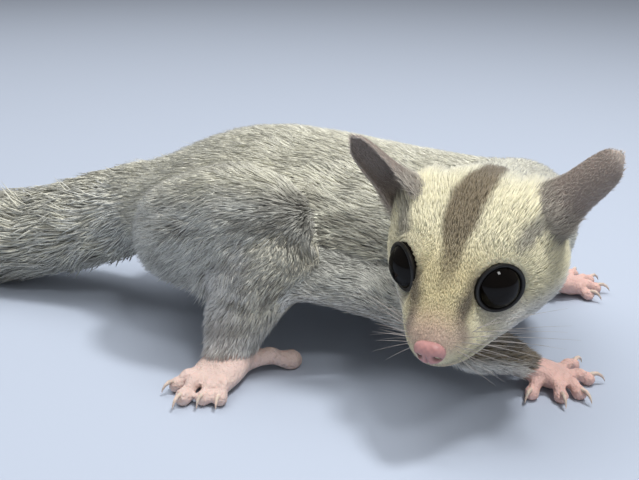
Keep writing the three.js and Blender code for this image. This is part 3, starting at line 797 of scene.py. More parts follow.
def coat_colours(points, normals, region, places):
    """The colour of the coat at points of the skin, with painted shade in its streaks and on the tail's
    underside.
    """
    mottle, fine = waves(points, 7.0, 3), waves(points, 2.2, 4)
    streak = smoothstep(0.15, 0.85, waves(points * np.array([0.3, 0.9, 1.1]), 2.4, 6))
    x, _, z = points.T
    up = normals[:, 2]
    flank = PALE_GREY * np.array([1.22, 1.2, 1.12])
    colour = blend(IVORY, flank, smoothstep(0.75, 0.0, up + 0.15 * mottle))
    patches = smoothstep(0.15, 0.9, mottle * 0.6 + fine * 0.5) * 0.5 * smoothstep(0.95, 0.4, up)
    colour = blend(colour, GREY, patches)
    colour = blend(colour, WHITE * 0.9, smoothstep(-0.35, -0.8, up))

    def put(name, value):
        chosen = region == REGIONS.index(name)
        colour[chosen] = value[chosen]

    put("head", head_colours(points))
    thigh = blend(PALE_GREY * 1.12, IVORY, smoothstep(0.5, 0.95, up))
    thigh = blend(thigh, GREY, smoothstep(-18, -1, x + 3 * mottle) * 0.55 * smoothstep(1.0, 0.6, up))
    thigh = blend(thigh, GREY * 0.9, smoothstep(0.2, 0.9, fine) * 0.35)
    put("thigh", thigh)
    back = smoothstep(0.1, -0.6, normals[:, 0] + 0.2 * fine)
    shin = PALE_GREY * np.array([1.25, 1.2, 1.1])
    shin = blend(shin, GREY * 0.95, smoothstep(-0.2, 0.9, mottle + fine) * 0.7)
    shin = blend(shin, WHITE * 0.95, back)
    shin = blend(shin, WHITE, smoothstep(17, 9, z) * 0.85)
    put("shin", shin)
    arm = GREY * np.array([0.66, 0.54, 0.36])
    arm = blend(arm, DARK * 0.9, smoothstep(-0.3, 0.7, mottle + fine) * 0.7)
    arm = blend(PALE_GREY, arm, smoothstep(22, 15, z))
    arm = blend(arm, WHITE * 0.92, smoothstep(0.05, -0.5, up))
    put("arm", arm)
    fold = blend(PALE_GREY, WHITE * 0.95, smoothstep(0.25, -0.45, up))
    put("fold", fold)
    body = np.isin(region, [REGIONS.index(name) for name in ("torso", "neck", "thigh", "shin")])
    # Darker streaks along the hair, left off the tops that face up: partly the coat's pepper, partly painted
    # shade between the clumps
    low = smoothstep(0.95, 0.5, up) * body
    colour = blend(colour, colour * np.array([0.46, 0.45, 0.43]), streak * low * 0.7)
    share = places[:, 0]
    # The tail is greyer where it is mottled, and on its underside as painted shade
    grey_and_underside_shade = smoothstep(-0.3, 0.8, mottle * 0.6 + fine * 0.3 + 0.3 - 0.5 * up)
    tail = blend(IVORY * 0.84, PALE_GREY * 0.95, grey_and_underside_shade)
    band = smoothstep(0.26, 0.36, share) * smoothstep(0.62, 0.5, share)
    tail = blend(tail, GREY * 1.1, band * 0.45)
    tail = blend(tail, GREY * 0.9, smoothstep(0.8, 0.98, share) * 0.6)
    # The same streaks on the tail: partly its own colour, partly painted shade between the locks
    tail = blend(tail, tail * 0.6, streak * 0.45)
    put("tail", tail)
    foot, hand = PINK * np.array([0.92, 1.04, 1.08]), PINK * np.array([0.95, 0.92, 0.94])
    put("paw", blend(foot, hand, smoothstep(15, 25, x)))
    return colour


# Settings
class GliderCoatSettings(bpy.types.PropertyGroup):
    fullness: FloatProperty(
        name="Fullness",
        description="Tufts against the number that the table asks for",
        default=0.88,
        min=0.05,
        max=1.5,
        subtype="FACTOR",
    )
    length: FloatProperty(
        name="Length",
        description="Length of the tufts against the table's",
        default=1.0,
        min=0.3,
        max=2.0,
        subtype="FACTOR",
    )
    sheen: FloatProperty(
        name="Sheen",
        description="Soft light that the hair scatters at its edges",
        default=0.25,
        min=0.0,
        max=1.0,
        subtype="FACTOR",
    )
    seed: IntProperty(name="Seed", description="Changes how the tufts fall", default=SEED)


class GliderBodySettings(bpy.types.PropertyGroup):
    grain: FloatProperty(
        name="Skin grain",
        description="Size of the skin's smallest faces",
        default=0.55 * MM,
        unit="LENGTH",
        precision=5,
    )
    whisker: FloatProperty(
        name="Whisker radius",
        description="Radius of a whisker at its root",
        default=0.075 * MM,
        unit="LENGTH",
        precision=5,
    )
    horn: FloatVectorProperty(
        name="Claw colour",
        description="Ivory of the claws",
        default=(0.62, 0.5, 0.42),
        subtype="COLOR",
        size=3,
    )


class GliderStageSettings(bpy.types.PropertyGroup):
    floor: FloatVectorProperty(
        name="Floor",
        description="Colour of the plain floor",
        default=(0.42, 0.47, 0.56),
        subtype="COLOR",
        size=3,
    )
    key: FloatProperty(name="Lights", description="Power that all lights share", default=3.0, unit="POWER")
    lens: FloatProperty(name="Lens", description="Focal length in millimetres", default=50.0)


TAIL_NODES = ["tail_1", "tail_2", "tail_3"]
LIMB_NODES = [
    f"{part}_{side}"
    for part in ("arm", "hand", "thigh", "shin", "foot", "membrane")
    for side in ("left", "right")
]
COVERS = {"head": ["head"], "tail": TAIL_NODES, "body": ["torso"]}  # what each part of the coat replaces
MOST_TRIANGLES = 185000  # in one piece of the coat
LOWEST_ROOT, LOWEST_HAIR = 0.15, 0.12  # how near to the floor a tuft may grow and reach
PATCH = 0.003  # the side of a tuft's patch of the UV map
BODY = {}  # what the skin hands on to the coat


class GLIDER_OT_skin(bpy.types.Operator):
    """One skin over head, trunk, legs, folds and tail"""

    bl_idname = "glider.skin"
    bl_label = "Skin"

    def execute(self, context):
        forms = body_forms()
        verts, faces, start = [], [], 0
        for _, _, points, _ in forms:
            v, f = closed(points)
            faces.append(facing_out(v - v.mean(0), f) + start)
            verts.append(v)
            start += len(v)
        material = skin_material()
        rough = mesh_object("rough_skin", np.concatenate(verts), np.concatenate(faces), material)
        remesh = rough.modifiers.new("One skin", "REMESH")
        remesh.mode = "VOXEL"
        remesh.voxel_size = context.scene.glider_body.grain * 1.0
        soften = rough.modifiers.new("Soften", "SMOOTH")
        soften.iterations = 3
        soften.factor = 0.5
        fewer = rough.modifiers.new("Fewer faces", "DECIMATE")
        fewer.ratio = 0.68
        result = bpy.data.meshes.new_from_object(rough.evaluated_get(context.evaluated_depsgraph_get()))
        verts, faces = arrays_of(result)
        bpy.data.objects.remove(rough)
        faces = facing_out(verts - verts.mean(0), faces)
        verts = head_details(eye_sockets(soften_joins(verts, faces, nearest_marks(verts, forms)[1])))
        verts[:, 2] = np.maximum(verts[:, 2], 0.0)
        lies, region, owner, places = nearest_marks(verts, forms)
        normals = vertex_normals(verts, faces)
        lies = unit(spread(lies, faces, 25))
        colours = coat_colours(verts, normals, region, places)
        bare = (region == REGIONS.index("paw")).astype(float)
        bare = spread(bare[:, None], faces, 6)[:, 0]
        # Under the coat the skin is the coat's colour a little darker, as painted shade under the hair; bare
        # paws keep their colour
        under = colours * (0.88 + 0.12 * bare)[:, None]
        under = spread(under, faces, 2)
        piece = mesh_object("skin", verts, faces, material, colours=under, colour_name="Skin")
        finish_piece(piece, ["torso", "neck", "head", *TAIL_NODES, *LIMB_NODES])
        BODY.update(verts=verts, faces=faces, normals=normals, lies=lies)
        BODY.update(region=region, owner=owner, places=places, bare=bare)
        return {"FINISHED"}


def scatter(verts, faces, density, rng):
    """Roots over a mesh, so many to a square millimetre: each root's face and its place there."""
    a, b, c = (verts[faces[:, k]] for k in range(3))
    area = np.linalg.norm(np.cross(b - a, c - a), axis=1) / 2
    expected = area * density * 1.0
    face = np.repeat(np.arange(len(faces)), np.floor(expected + rng.random(len(faces))).astype(int))
    u, v = rng.random((2, len(face)))
    flip = u + v > 1
    u[flip], v[flip] = 1 - u[flip], 1 - v[flip]
    return face, u, v


def tuft_mesh(root, normal, lie, length, width, height, long):
    """Closed tapered tufts: a root, one or two rings of three points and a tip, bent over along the lie."""
    side = unit(np.cross(normal, lie))
    rings = [(0.22, 0.5, 0.8), (0.62, 0.9, 0.85)] if long else [(0.38, 0.66, 1.0)]
    points = [root - normal * 0.15]
    for share, rise, taper in rings:
        centre = root + lie * (length * share)[:, None] + normal * (height * rise)[:, None]
        half = (width * 0.5 * taper)[:, None]
        points += [centre - side * half, centre + normal * half * 0.6, centre + side * half]
    points.append(root + lie * length[:, None] + normal * height[:, None])
    faces = [[0, 1 + (i + 1) % 3, 1 + i] for i in range(3)]
    for k in range(len(rings) - 1):
        b = 1 + 3 * k
        for i in range(3):
            j = (i + 1) % 3
            faces += [[b + i, b + j, b + 3 + j], [b + i, b + 3 + j, b + 3 + i]]
    last = 1 + 3 * (len(rings) - 1)
    faces += [[last + i, last + (i + 1) % 3, last + 3] for i in range(3)]
    shares = [0.0] + [share for share, _, _ in rings for _ in range(3)] + [1.0]
    across = [0.0] + [-1.0, 0.0, 1.0] * len(rings) + [0.0]
    return np.stack(points, axis=1), np.array(faces), np.array(shares), np.array(across)


def tuft_piece(name, material, long, tufts, columns, count, rng):
    """One piece of many tufts, each a small patch of the UV map at its root's place on its form."""
    root, normal, lie, length, width, height, colour, place = tufts
    verts, faces, shares, across = tuft_mesh(root, normal, lie, length, width, height, long)
    n, per = verts.shape[:2]
    verts[..., 2] = np.maximum(verts[..., 2], LOWEST_HAIR)
    all_faces = (faces[None] + np.arange(n)[:, None, None] * per).reshape(-1, 3)
    # Each tuft is darker at its root, as grey underfur and as painted shade down in the coat, and a little
    # lighter at its tip
    tone = np.interp(shares, [0, 0.4, 1.0], [0.82, 0.98, 1.06])
    colours = np.clip(colour[:, None, :] * tone[None, :, None], 0, 0.95)
    u0 = (columns + 0.04 + 0.92 * place[:, 1]) / count + rng.uniform(-0.01, 0.01, n) / count
    v0 = 0.02 + 0.96 * place[:, 0] + rng.uniform(-0.008, 0.008, n)
    uv = np.stack([u0[:, None] + across * PATCH / 2, v0[:, None] + (shares - 0.5) * PATCH], -1)
    uv = np.clip(uv, 0.001, 0.999).reshape(-1, 2)[all_faces.ravel()]
    return mesh_object(name, verts.reshape(-1, 3), all_faces, material, colours=colours.reshape(-1, 3), uv=uv)


def round_eye(points, side):
    """How far points are from an eye's middle and in front of it, and their way out from its axis."""
    away = points - eye_centre(side)
    front = away @ eye_axis(side)
    return np.linalg.norm(away, axis=1), front, away - eye_axis(side) * front[:, None]


def clear_of_eyes(root):
    """Which tufts stand outside the openings of the eyes."""
    keep = np.ones(len(root), bool)
    for side in (1, -1):
        far, front, outward = round_eye(root, side)
        keep &= (np.linalg.norm(outward, axis=1) > OPENING + 0.6) | (front < 0) | (far > 8)
        keep &= far > BALL + 0.05
    return keep


def comb(root, normal, lie, region, rng):
    """The way each tuft lies: out from the eyes, close to the skin, in clumps with a few strays."""
    for side in (1, -1):
        far, _, outward = round_eye(root, side)
        lie = lie + unit(outward) * (2.4 * smoothstep(8.5, 4.5, far))[:, None]
    lie = unit(lie)
    rise = np.einsum("ij,ij->i", lie, normal)
    lie = lie - normal * np.where(rise > 0, rise * 0.6, rise)[:, None]
    clump = np.stack([waves(root, 5.0, 40 + k, 2) for k in range(3)], 1)
    calm = np.where(region == REGIONS.index("head"), 0.5, 1.0)[:, None]
    stray = calm * (0.34 * clump + 0.15 * rng.normal(size=lie.shape))
    lie = unit(unit(lie) + stray - normal * np.einsum("ij,ij->i", stray, normal)[:, None])
    return unit(lie - normal * np.minimum(np.einsum("ij,ij->i", lie, normal), 0)[:, None])


def tuft_sizes(root, region, place, bare, rng):
    """Each tuft's height over the skin, its length and its width, small on the face and long on the tail."""
    depth, length, width, _ = np.array([COAT[name] for name in REGIONS])[region].T
    head = region == REGIONS.index("head")
    face = np.interp(of_head(root)[:, 0], [-8, 0, 5, 10, 16], [1.0, 0.75, 0.5, 0.34, 0.22])
    small = np.where(head, face, 1.0)
    small = small * (1 - 0.6 * smoothstep(0.05, 0.5, bare))
    near_eye = nearest_of(root, [eye_centre(side) for side in (1, -1)])
    small = small * np.where(head, smoothstep(3.6, 8.5, near_eye) * 0.65 + 0.35, 1.0)
    near_ear = nearest_of(root, [ear_root(side) for side in (1, -1)])
    small = small * np.where(head, 1 + 1.3 * smoothstep(8, 4, near_ear), 1.0)
    tail = region == REGIONS.index("tail")
    radius, core = along(TAIL, place[:, 0])[:, 3:5].T
    depth = np.where(tail, radius * (1 - core), depth)
    layer = np.where(tail, rng.uniform(0.25, 1.0, len(root)), rng.uniform(0.55, 1.12, len(root)))
    height = depth * layer * small
    length = np.where(tail, np.minimum(length * smoothstep(-2, 11, radius), 3.5 + 1.9 * depth), length)
    length = length * small * (0.75 + 0.45 * rng.random(len(root)))
    width = width * (0.35 + 0.65 * small) * (0.75 + 0.5 * rng.random(len(root)))
    return height, length, width


class GLIDER_OT_coat(bpy.types.Operator):
    """The coat, as tapered tufts laid along the lie of the hair"""

    bl_idname = "glider.coat"
    bl_label = "Coat"

    def execute(self, context):
        settings = context.scene.glider_coat
        material = coat_material(settings.sheen)
        rng = np.random.default_rng(settings.seed)
        verts, faces, normals = (BODY[name] for name in ("verts", "faces", "normals"))
        region_of_face = BODY["region"][faces[:, 0]]
        table = np.array([COAT[name] for name in REGIONS])
        furred = 1 - BODY["bare"][faces].mean(1)
        density = table[region_of_face, 3] * smoothstep(0.35, 0.75, furred)
        forward = of_head(verts[faces[:, 0]])[:, 0]
        on_head = region_of_face == REGIONS.index("head")
        finer = np.interp(forward, [0, 6, 14, 16.5, 17.2], [1, 1.35, 1.7, 1.2, 0])
        density = np.where(on_head, density * finer, density) * settings.fullness
        face, u, v = scatter(verts, faces, density, rng)
        weights = np.stack([1 - u - v, u, v], 1)[..., None]
        corner = faces[face]
        root = (verts[corner] * weights).sum(1)
        normal = unit((normals[corner] * weights).sum(1))
        lie = (BODY["lies"][corner] * weights).sum(1)
        region, owner, place = (BODY[k][corner[:, 0]] for k in ("region", "owner", "places"))
        colour = coat_colours(root, normal, region, place)
        bare = (BODY["bare"][corner] * weights[..., 0]).sum(1)
        keep = clear_of_eyes(root) & (root[:, 2] > LOWEST_ROOT)
        lie = comb(root, normal, lie, region, rng)
        height, length, width = tuft_sizes(root, region, place, bare, rng)
        length = length * settings.length
        head, tail = region == REGIONS.index("head"), region == REGIONS.index("tail")
        strand = 0.9 + 0.2 * rng.random(len(root))
        salt = np.where(rng.random(len(root)) < 0.16, 0.52, 1.0)
        colour = colour * (strand * np.where(head, 0.5 + 0.5 * salt, salt))[:, None]
        number = 0
        for name, chosen in (("head", head), ("tail", tail), ("body", ~(head | tail))):
            pick = np.flatnonzero(chosen & keep)
            pick = pick[np.argsort(root[pick, 0])]
            per_tuft = 12 if name == "tail" else 6
            for part in np.array_split(pick, max(1, math.ceil(len(pick) * per_tuft / MOST_TRIANGLES))):
                number += 1
                tufts = [values[part] for values in (root, normal, lie, length, width, height, colour, place)]
                owners, columns = np.unique(owner[part], return_inverse=True)
                label, long = f"coat_{name}_{number}", name == "tail"
                piece = tuft_piece(label, material, long, tufts, columns, len(owners), rng)
                finish_piece(piece, COVERS[name])
        return {"FINISHED"}


def ball_mesh(centre, radius, axis, around=64, rings=40, bulge=0.0):
    """A ball whose front swells a little along its axis."""
    side = unit(np.cross(axis, UP))
    top = np.cross(side, axis)
    share = np.linspace(0, np.pi, rings + 1)[1:-1]
    angle = np.linspace(0, 2 * np.pi, around, endpoint=False)
    deep = np.cos(share)
    r = radius * (1 + bulge * smoothstep(0.6, 1.0, deep))
    out = np.cos(angle)[None, :, None] * side + np.sin(angle)[None, :, None] * top
    grid = centre + axis * (r * deep)[:, None, None] + (r * np.sin(share))[:, None, None] * out
    verts, faces = closed(grid)
    verts[-2], verts[-1] = centre + axis * radius * (1 + bulge), centre - axis * radius
    return verts, facing_out(verts - centre, faces)


class GLIDER_OT_eyes(bpy.types.Operator):
    """Wet black eyes in their dark lids"""

    bl_idname = "glider.eyes"
    bl_label = "Eyes and lids"

    def execute(self, context):
        wet = {"Roughness": 0.05, "Specular IOR Level": 0.0, "Coat Weight": 0.35, "Coat Roughness": 0.01}
        black = ((0.001, 0.001, 0.001), (0.005, 0.003, 0.002))
        glossy = two_tone("wet_black_eye", black, 400.0, wet, detail=3.0, stops=(0.0, 1.0))
        leather = ((0.002, 0.002, 0.002), (0.008, 0.006, 0.005))
        rim = two_tone("dark_lid", leather, 1200.0, {"Roughness": 0.45}, bump=0.3)
        for name, side in (("left", 1), ("right", -1)):
            centre, axis = eye_centre(side), eye_axis(side)
            verts, faces = ball_mesh(centre, BALL, axis, bulge=0.02)
            finish_piece(mesh_object(f"eye_{name}_ball", verts, faces, glossy), [f"eye_{name}"])
            across = unit(np.cross(axis, UP))
            top = np.cross(across, axis)
            turn = np.linspace(0, 2 * np.pi, 72, endpoint=False)
            section = np.linspace(0, 2 * np.pi, 12, endpoint=False)
            # The lid is a soft ring, a little thinner above and below
            thick = 0.44 + 0.05 * np.cos(2 * turn)
            ring = np.cos(turn)[:, None] * across * 1.02 + np.sin(turn)[:, None] * top
            forward = math.sqrt(BALL ** 2 - OPENING ** 2) + 0.25
            middle = centre + axis * forward + ring * (OPENING + 0.02)
            out = np.cos(section)[None, :, None] * unit(ring)[:, None] + np.sin(section)[None, :, None] * axis
            grid = middle[:, None] + out * thick[:, None, None]
            n = len(section)
            i, j = np.meshgrid(np.arange(len(turn)), np.arange(n), indexing="ij")
            after_i, after_j = (i + 1) % len(turn), (j + 1) % n
            a, b, c, d = i * n + j, i * n + after_j, after_i * n + after_j, after_i * n + j
            halves = [np.stack(corners, -1).reshape(-1, 3) for corners in ((a, b, c), (a, c, d))]
            flat = grid.reshape(-1, 3)
            faces = facing_out(flat - flat.mean(0), np.concatenate(halves))
            finish_piece(mesh_object(f"lid_{name}", flat, faces, rim))
        return {"FINISHED"}


class GLIDER_OT_ears(bpy.types.Operator):
    """Thin cupped ears with a pale rolled rim"""

    bl_idname = "glider.ears"
    bl_label = "Ears"

    def execute(self, context):
        material = bare_skin("ear_leather", 800.0, 0.6, 0.35)
        for name, side in (("left", 1), ("right", -1)):
            slim = 1.04 if name == "right" else 1.0
            axis = unit(np.array(EAR_POINTS[name])) @ HEAD_AXES
            opening = np.array(EAR_OPENS[name]) @ HEAD_AXES
            opening = unit(opening - axis * (opening @ axis))
            across = np.cross(axis, opening)
            root = ear_root(side)
            u, v = np.linspace(0, 1, 41), np.linspace(-1, 1, 37)
            share, half, deep, edge = along(EAR_ROWS, u).T
            turn = np.radians(edge)[:, None] * v
            walls = []
            for wall in (0.32, -0.32):
                thick = wall * (1 - 0.55 * u)[:, None]
                w, d = half[:, None] * slim + thick, deep[:, None] + thick
                curl = 0.35 * v ** 2 * np.abs(v) * (0.4 + u[:, None])
                up_ear = EAR["length"][name] * (share[:, None] - 0.06 * u[:, None] * v ** 2)
                out_of_cup = d * (0.35 - np.cos(turn))
                to_side = w * np.sin(turn) * (1 - 0.12 * curl)
                steps = ((axis, up_ear), (opening, out_of_cup), (across, to_side))
                walls.append(root + sum(way * step[..., None] for way, step in steps))
            grid = np.concatenate([walls[0], walls[1][:, ::-1]], axis=1)
            verts, faces = closed(grid)
            tip = np.clip(np.tile(smoothstep(0.8, 1.0, u)[:, None], (1, grid.shape[1])), 0, 1)
            rim = np.concatenate([np.abs(v), np.abs(v)[::-1]]) ** 8
            inside = np.concatenate([np.zeros(37), np.ones(37)])[None] * smoothstep(0.55, 0.05, u)[:, None]
            shade = np.broadcast_to(EAR_TAUPE, (*grid.shape[:2], 3)).copy()
            shade = blend(shade, EAR_INSIDE, inside * 0.7)
            shade = blend(shade, EAR_RIM, np.clip(tip + rim[None] * 0.6, 0, 1) * 0.7)
            shade = np.vstack([shade.reshape(-1, 3), EAR_TAUPE, EAR_RIM])
            faces = facing_out(verts - verts.mean(0), faces)
            leaf = mesh_object(f"ear_{name}_leaf", verts, faces, material, colours=shade, colour_name="Skin")
            finish_piece(leaf, [f"ear_{name}"])
            self.fuzz(context, name, verts, faces, shade, axis, root)
        return {"FINISHED"}


    def fuzz(self, context, name, verts, faces, shade, axis, root):
        """Fine short hair over the ear, thickest towards its foot."""
        rng = np.random.default_rng(SEED + 2)
        a, b, c = (verts[faces[:, k]] for k in range(3))
        share = ((a - root) @ axis) / EAR["length"][name]
        density = np.interp(share, [-0.2, 0.4, 1.0], [16, 11, 7]) * (share > -0.3)
        face, u, v = scatter(verts, faces, density, rng)
        spot = a[face] + (b - a)[face] * u[:, None] + (c - a)[face] * v[:, None]
        normal = unit(np.cross(b - a, c - a))[face]
        lie = unit(axis + 0.25 * rng.normal(size=spot.shape))
        lie = unit(lie - normal * np.einsum("ij,ij->i", lie, normal)[:, None])
        foot = smoothstep(0.45, 0.0, share[face])
        length = (0.9 + 2.2 * foot) * rng.uniform(0.7, 1.2, len(face))
        height = (0.16 + 0.8 * foot) * rng.uniform(0.5, 1.0, len(face))
        colour = blend(shade[faces[face, 0]] * 1.35, IVORY * 0.7, 0.16 + 0.3 * foot)
        colour = colour * rng.uniform(0.75, 1.2, len(face))[:, None]
        place = np.stack([np.clip(share[face], 0, 1), rng.random(len(face))], 1)
        tufts = [spot, normal, lie, length, np.full(len(face), 0.10), height, colour, place]
        material = bpy.data.materials.get("coat") or coat_material(context.scene.glider_coat.sheen)
        piece = tuft_piece(f"coat_ear_{name}", material, False, tufts, np.zeros(len(face)), 1, rng)
        finish_piece(piece, [f"ear_{name}"])


class GLIDER_OT_nose(bpy.types.Operator):
    """Moist pink nose with its nostrils and the cleft below them"""

    bl_idname = "glider.nose"
    bl_label = "Nose"

    def execute(self, context):
        pink = bare_skin("moist_nose", 900.0, 0.33, 0.25)
        share = np.linspace(0, np.pi, 62)[1:-1]
        angle = np.linspace(0, 2 * np.pi, 96, endpoint=False)
        deep, out = np.cos(share)[:, None], np.sin(share)[:, None]
        wide, tall, thick = 2.9, 2.4, 2.1
        l = out * np.cos(angle) * wide
        u = out * np.sin(angle) * tall
        l = l * (1 + 0.12 * np.clip(u / tall, -1, 1))
        f = np.broadcast_to(deep * thick, l.shape)
        slant = u + 0.15 + 0.45 * (np.abs(l) - 1.5)
        pit = np.exp(-(((np.abs(l) - 1.65) / 0.6) ** 2) - (slant / 0.42) ** 2)
        cleft = np.exp(-((l / 0.26) ** 2)) * smoothstep(0.9, -0.4, u)
        front = smoothstep(-0.1, 0.4, deep)
        f = f - front * (pit * 1.5 + cleft * 0.4) - 0.04 * np.sin(l * 5) * np.cos(u * 6)
        grid = in_head(np.stack([f + 16.2, l, u - 5.3], -1))
        verts, faces = closed(grid)
        # Painted shade: the nostril pits and the cleft below them are darkened
        shade = 1 - 0.9 * np.clip(pit * 1.2, 0, 1) * front - 0.25 * cleft * front
        shade = np.concatenate([shade.ravel(), [1.0, 1.0]])[:, None] * NOSE_PINK
        faces = facing_out(verts - verts.mean(0), faces)
        piece = mesh_object("nose", verts, faces, pink, colours=shade, colour_name="Skin")
        finish_piece(piece, ["head"])
        return {"FINISHED"}


def hair_tree(name, material):
    """A tree that turns polylines with a thickness at each point into tapered hairs or claws."""
    tree = bpy.data.node_groups.new(name, "GeometryNodeTree")
    face = tree.interface
    face.new_socket("Geometry", in_out="INPUT", socket_type="NodeSocketGeometry")
    radius = face.new_socket("Radius", in_out="INPUT", socket_type="NodeSocketFloat")
    face.new_socket("Geometry", in_out="OUTPUT", socket_type="NodeSocketGeometry")
    nodes, links = tree.nodes, tree.links
    start, end = nodes.new("NodeGroupInput"), nodes.new("NodeGroupOutput")
    curve = nodes.new("GeometryNodeMeshToCurve")
    share = nodes.new("GeometryNodeInputNamedAttribute")
    share.data_type = "FLOAT"
    share.inputs["Name"].default_value = "thickness"
    times = nodes.new("ShaderNodeMath")
    times.operation = "MULTIPLY"
    swell = nodes.new("GeometryNodeSetCurveRadius")
    ring = nodes.new("GeometryNodeCurvePrimitiveCircle")
    ring.inputs["Resolution"].default_value = 7
    ring.inputs["Radius"].default_value = 1.0
    body = nodes.new("GeometryNodeCurveToMesh")
    body.inputs["Fill Caps"].default_value = True
    if "Scale" in body.inputs:
        links.new(times.outputs[0], body.inputs["Scale"])
    smooth = nodes.new("GeometryNodeSetShadeSmooth")
    real = nodes.new("GeometryNodeRealizeInstances")
    finish = nodes.new("GeometryNodeSetMaterial")
    finish.inputs["Material"].default_value = material
    for source, target in (
        (start.outputs["Geometry"], curve.inputs["Mesh"]),
        (share.outputs["Attribute"], times.inputs[0]),
        (start.outputs["Radius"], times.inputs[1]),
        (curve.outputs["Curve"], swell.inputs["Curve"]),
        (times.outputs[0], swell.inputs["Radius"]),
        (swell.outputs["Curve"], body.inputs["Curve"]),
        (ring.outputs["Curve"], body.inputs["Profile Curve"]),
        (body.outputs["Mesh"], smooth.inputs["Geometry"]),
        (smooth.outputs["Geometry"], real.inputs["Geometry"]),
        (real.outputs["Geometry"], finish.inputs["Geometry"]),
        (finish.outputs["Geometry"], end.inputs["Geometry"]),
    ):
        links.new(source, target)
    return tree, radius.identifier


def hairs(context, name, lines, thickness, radius, material):
    """Each line of points becomes one tapered hair: a mesh of edges run through the hair tree."""
    mesh = bpy.data.meshes.new(name + "_lines")
    count, per = lines.shape[:2]
    edges = [(i * per + k, i * per + k + 1) for i in range(count) for k in range(per - 1)]
    mesh.from_pydata(((lines.reshape(-1, 3) - MIDDLE) * MM).tolist(), edges, [])
    layer = mesh.attributes.new("thickness", "FLOAT", "POINT")
    layer.data.foreach_set("value", np.tile(thickness, count).astype(np.float32))
    source = bpy.data.objects.new(name + "_source", mesh)
    context.scene.collection.objects.link(source)
    tree, socket = hair_tree(name + "_tree", material)
    modifier = source.modifiers.new("Hairs", "NODES")
    modifier.node_group = tree
    modifier[socket] = radius
    source.update_tag()
    made = bpy.data.meshes.new_from_object(source.evaluated_get(context.evaluated_depsgraph_get()))
    made.name = name
    piece = bpy.data.objects.new(name, made)
    context.scene.collection.objects.link(piece)
    bpy.data.objects.remove(source)
    if len(made.polygons) == 0:
        raise RuntimeError(f"{name} came out empty")
    if not made.materials:
        made.materials.append(material)
    return piece


class GLIDER_OT_claws(bpy.types.Operator):
    """Curved ivory claws on every digit but the great toes"""

    bl_idname = "glider.claws"
    bl_label = "Claws"

    def execute(self, context):
        tone = np.array(context.scene.glider_body.horn)
        tones = (tuple(tone * 0.75), tuple(np.minimum(tone * 1.25, 0.95)))
        sockets = {"Roughness": 0.3, "Subsurface Weight": 0.2, "Subsurface Radius": GLOW_RADIUS}
        horn = two_tone("ivory_claw", tones, 700.0, sockets, bump=0.15)
        shape = [(-0.35, 0.25), (0.0, 0.75), (0.35, 0.75), (0.68, 0.25), (0.9, -0.45), (1.0, -1.15)]
        thickness = np.array([1.0, 1.0, 0.9, 0.68, 0.4, 0.08])
        lines = []
        for _, digits in PAWS.values():
            for rx, ry, _, tx, ty, tz, radius, claw in digits:
                if not claw:
                    continue
                flat = unit(np.array([tx - rx, ty - ry, 0.0]))
                tip = np.array([tx, ty, tz - PRESS]) + flat * radius * 0.35
                lines.append([tip + flat * claw * a + UP * (b + 0.35) for a, b in shape])
        lines = np.array(lines)
        lines[..., 2] = np.maximum(lines[..., 2], 0.15)
        piece = hairs(context, "claws", lines, thickness, 0.48 * MM, horn)
        finish_piece(piece)
        return {"FINISHED"}


class GLIDER_OT_whiskers(bpy.types.Operator):
    """Fine whiskers on both sides of the muzzle"""

    bl_idname = "glider.whiskers"
    bl_label = "Whiskers"

    def execute(self, context):
        tones = ((0.24, 0.21, 0.19), (0.5, 0.46, 0.42))
        material = two_tone("whisker", tones, 500.0, {"Roughness": 0.4})
        radius = context.scene.glider_body.whisker
        rng = np.random.default_rng(SEED + 1)
        lines = []
        for side in (1, -1):
            for k in range(18):
                row, column = divmod(k, 6)
                start = np.array([14.6 - column * 1.05, 4.0 + column * 0.38, -4.4 - row * 1.15])
                fan = np.array([0.25 - column * 0.18, 1.0, 0.30 - row * 0.34])
                aim = unit(fan + 0.12 * rng.normal(size=3))
                length = (7 + 2.6 * column) * rng.uniform(0.8, 1.15)
                droop = np.array([-0.18, 0, -0.22]) * length
                points = [start + aim * length * t + droop * t ** 2 for t in np.linspace(0, 1, 8)]
                lines.append(in_head(np.array(points) * np.array([1, side, 1])))
        piece = hairs(context, "whiskers", np.array(lines), np.linspace(1.0, 0.12, 8), radius, material)
        finish_piece(piece)
        return {"FINISHED"}


# Each light's name, place in metres, size and share of the lights' power. Only the first shines in the eyes
LIGHTS = (
    ("window", (0.21, -0.33, 0.55), 0.10, 0.24),
    ("lamp", (0.26, -0.02, 0.62), 0.10, 0.9),
    ("sky", (-0.20, 0.22, 0.85), 0.9, 2.2),
    ("fill", (0.35, -0.75, 0.40), 0.6, 0.25),
)
LIT_PLACE = np.array([90.0, -20.0, 22.0]) * MM
CAMERA_PLACE = np.array([0.0, -195.0, 92.0])
CAMERA_TILT = 70  # degrees up from straight down


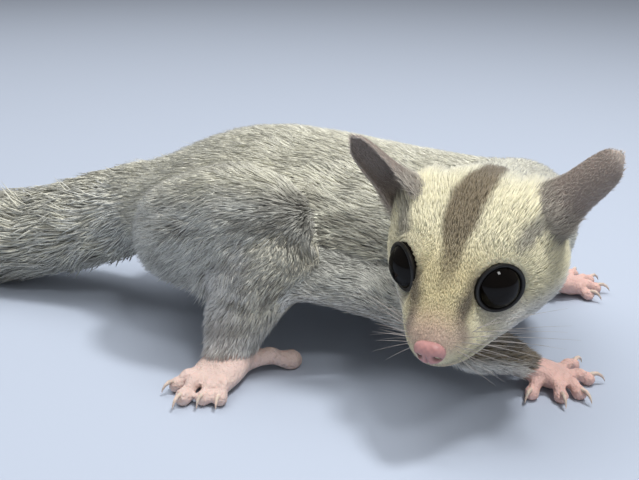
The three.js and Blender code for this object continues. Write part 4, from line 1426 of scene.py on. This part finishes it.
class GLIDER_OT_stage(bpy.types.Operator):
    """Plain pale floor, soft window light and the camera"""

    bl_idname = "glider.stage"
    bl_label = "Stage"

    def execute(self, context):
        settings = context.scene.glider_stage
        scene = context.scene
        bpy.ops.mesh.primitive_plane_add(size=6.0)
        floor = context.active_object
        floor.name = "floor"
        paint = {"Base Color": (*settings.floor, 1), "Roughness": 0.85}
        floor.data.materials.append(new_material("plain_floor", paint)[0])
        for name, place, size, share in LIGHTS:
            light = bpy.data.lights.new(name, "AREA")
            light.size = size
            light.energy = settings.key * share
            lamp = bpy.data.objects.new(name, light)
            scene.collection.objects.link(lamp)
            lamp.location = place
            lamp.visible_glossy = name == "window"
            aim = unit(LIT_PLACE - np.array(place))
            yaw = math.atan2(aim[1], aim[0])
            lamp.rotation_euler = (math.acos(-aim[2]), 0, yaw - math.pi / 2)
        world = bpy.data.worlds.new("soft_room")
        world.use_nodes = True
        background = world.node_tree.nodes["Background"]
        background.inputs["Color"].default_value = (0.92, 0.92, 0.93, 1)
        background.inputs["Strength"].default_value = 0.27
        scene.world = world
        camera = bpy.data.cameras.new("camera")
        camera.lens = settings.lens
        camera.sensor_width = 36.0
        camera.clip_start = 0.005
        view = bpy.data.objects.new("camera", camera)
        scene.collection.objects.link(view)
        view.location = (CAMERA_PLACE - MIDDLE) * MM
        view.rotation_euler = (math.radians(CAMERA_TILT), 0, 0)
        scene.camera = view
        scene.view_settings.view_transform = "Standard"
        return {"FINISHED"}


STEPS = (
    GLIDER_OT_skin,
    GLIDER_OT_coat,
    GLIDER_OT_eyes,
    GLIDER_OT_ears,
    GLIDER_OT_nose,
    GLIDER_OT_claws,
    GLIDER_OT_whiskers,
    GLIDER_OT_stage,
)


class GLIDER_PT_panel(bpy.types.Panel):
    """Lists the pieces in the order in which they are built"""

    bl_label = "Sugar glider"
    bl_space_type = "VIEW_3D"
    bl_region_type = "UI"
    bl_category = "Glider"

    def draw(self, context):
        for step in STEPS:
            self.layout.operator(step.bl_idname)


SETTINGS = {
    "glider_coat": GliderCoatSettings,
    "glider_body": GliderBodySettings,
    "glider_stage": GliderStageSettings,
}


def register():
    for group in (*SETTINGS.values(), *STEPS, GLIDER_PT_panel):
        bpy.utils.register_class(group)
    for name, group in SETTINGS.items():
        setattr(bpy.types.Scene, name, PointerProperty(type=group))


def unregister():
    for name in SETTINGS:
        delattr(bpy.types.Scene, name)
    for group in reversed((*SETTINGS.values(), *STEPS, GLIDER_PT_panel)):
        bpy.utils.unregister_class(group)


def main():
    register()
    bpy.ops.glider.skin()
    bpy.ops.glider.coat()
    bpy.ops.glider.eyes()
    bpy.ops.glider.ears()
    bpy.ops.glider.nose()
    bpy.ops.glider.claws()
    bpy.ops.glider.whiskers()
    bpy.ops.glider.stage()


if __name__ == "__main__":
    main()
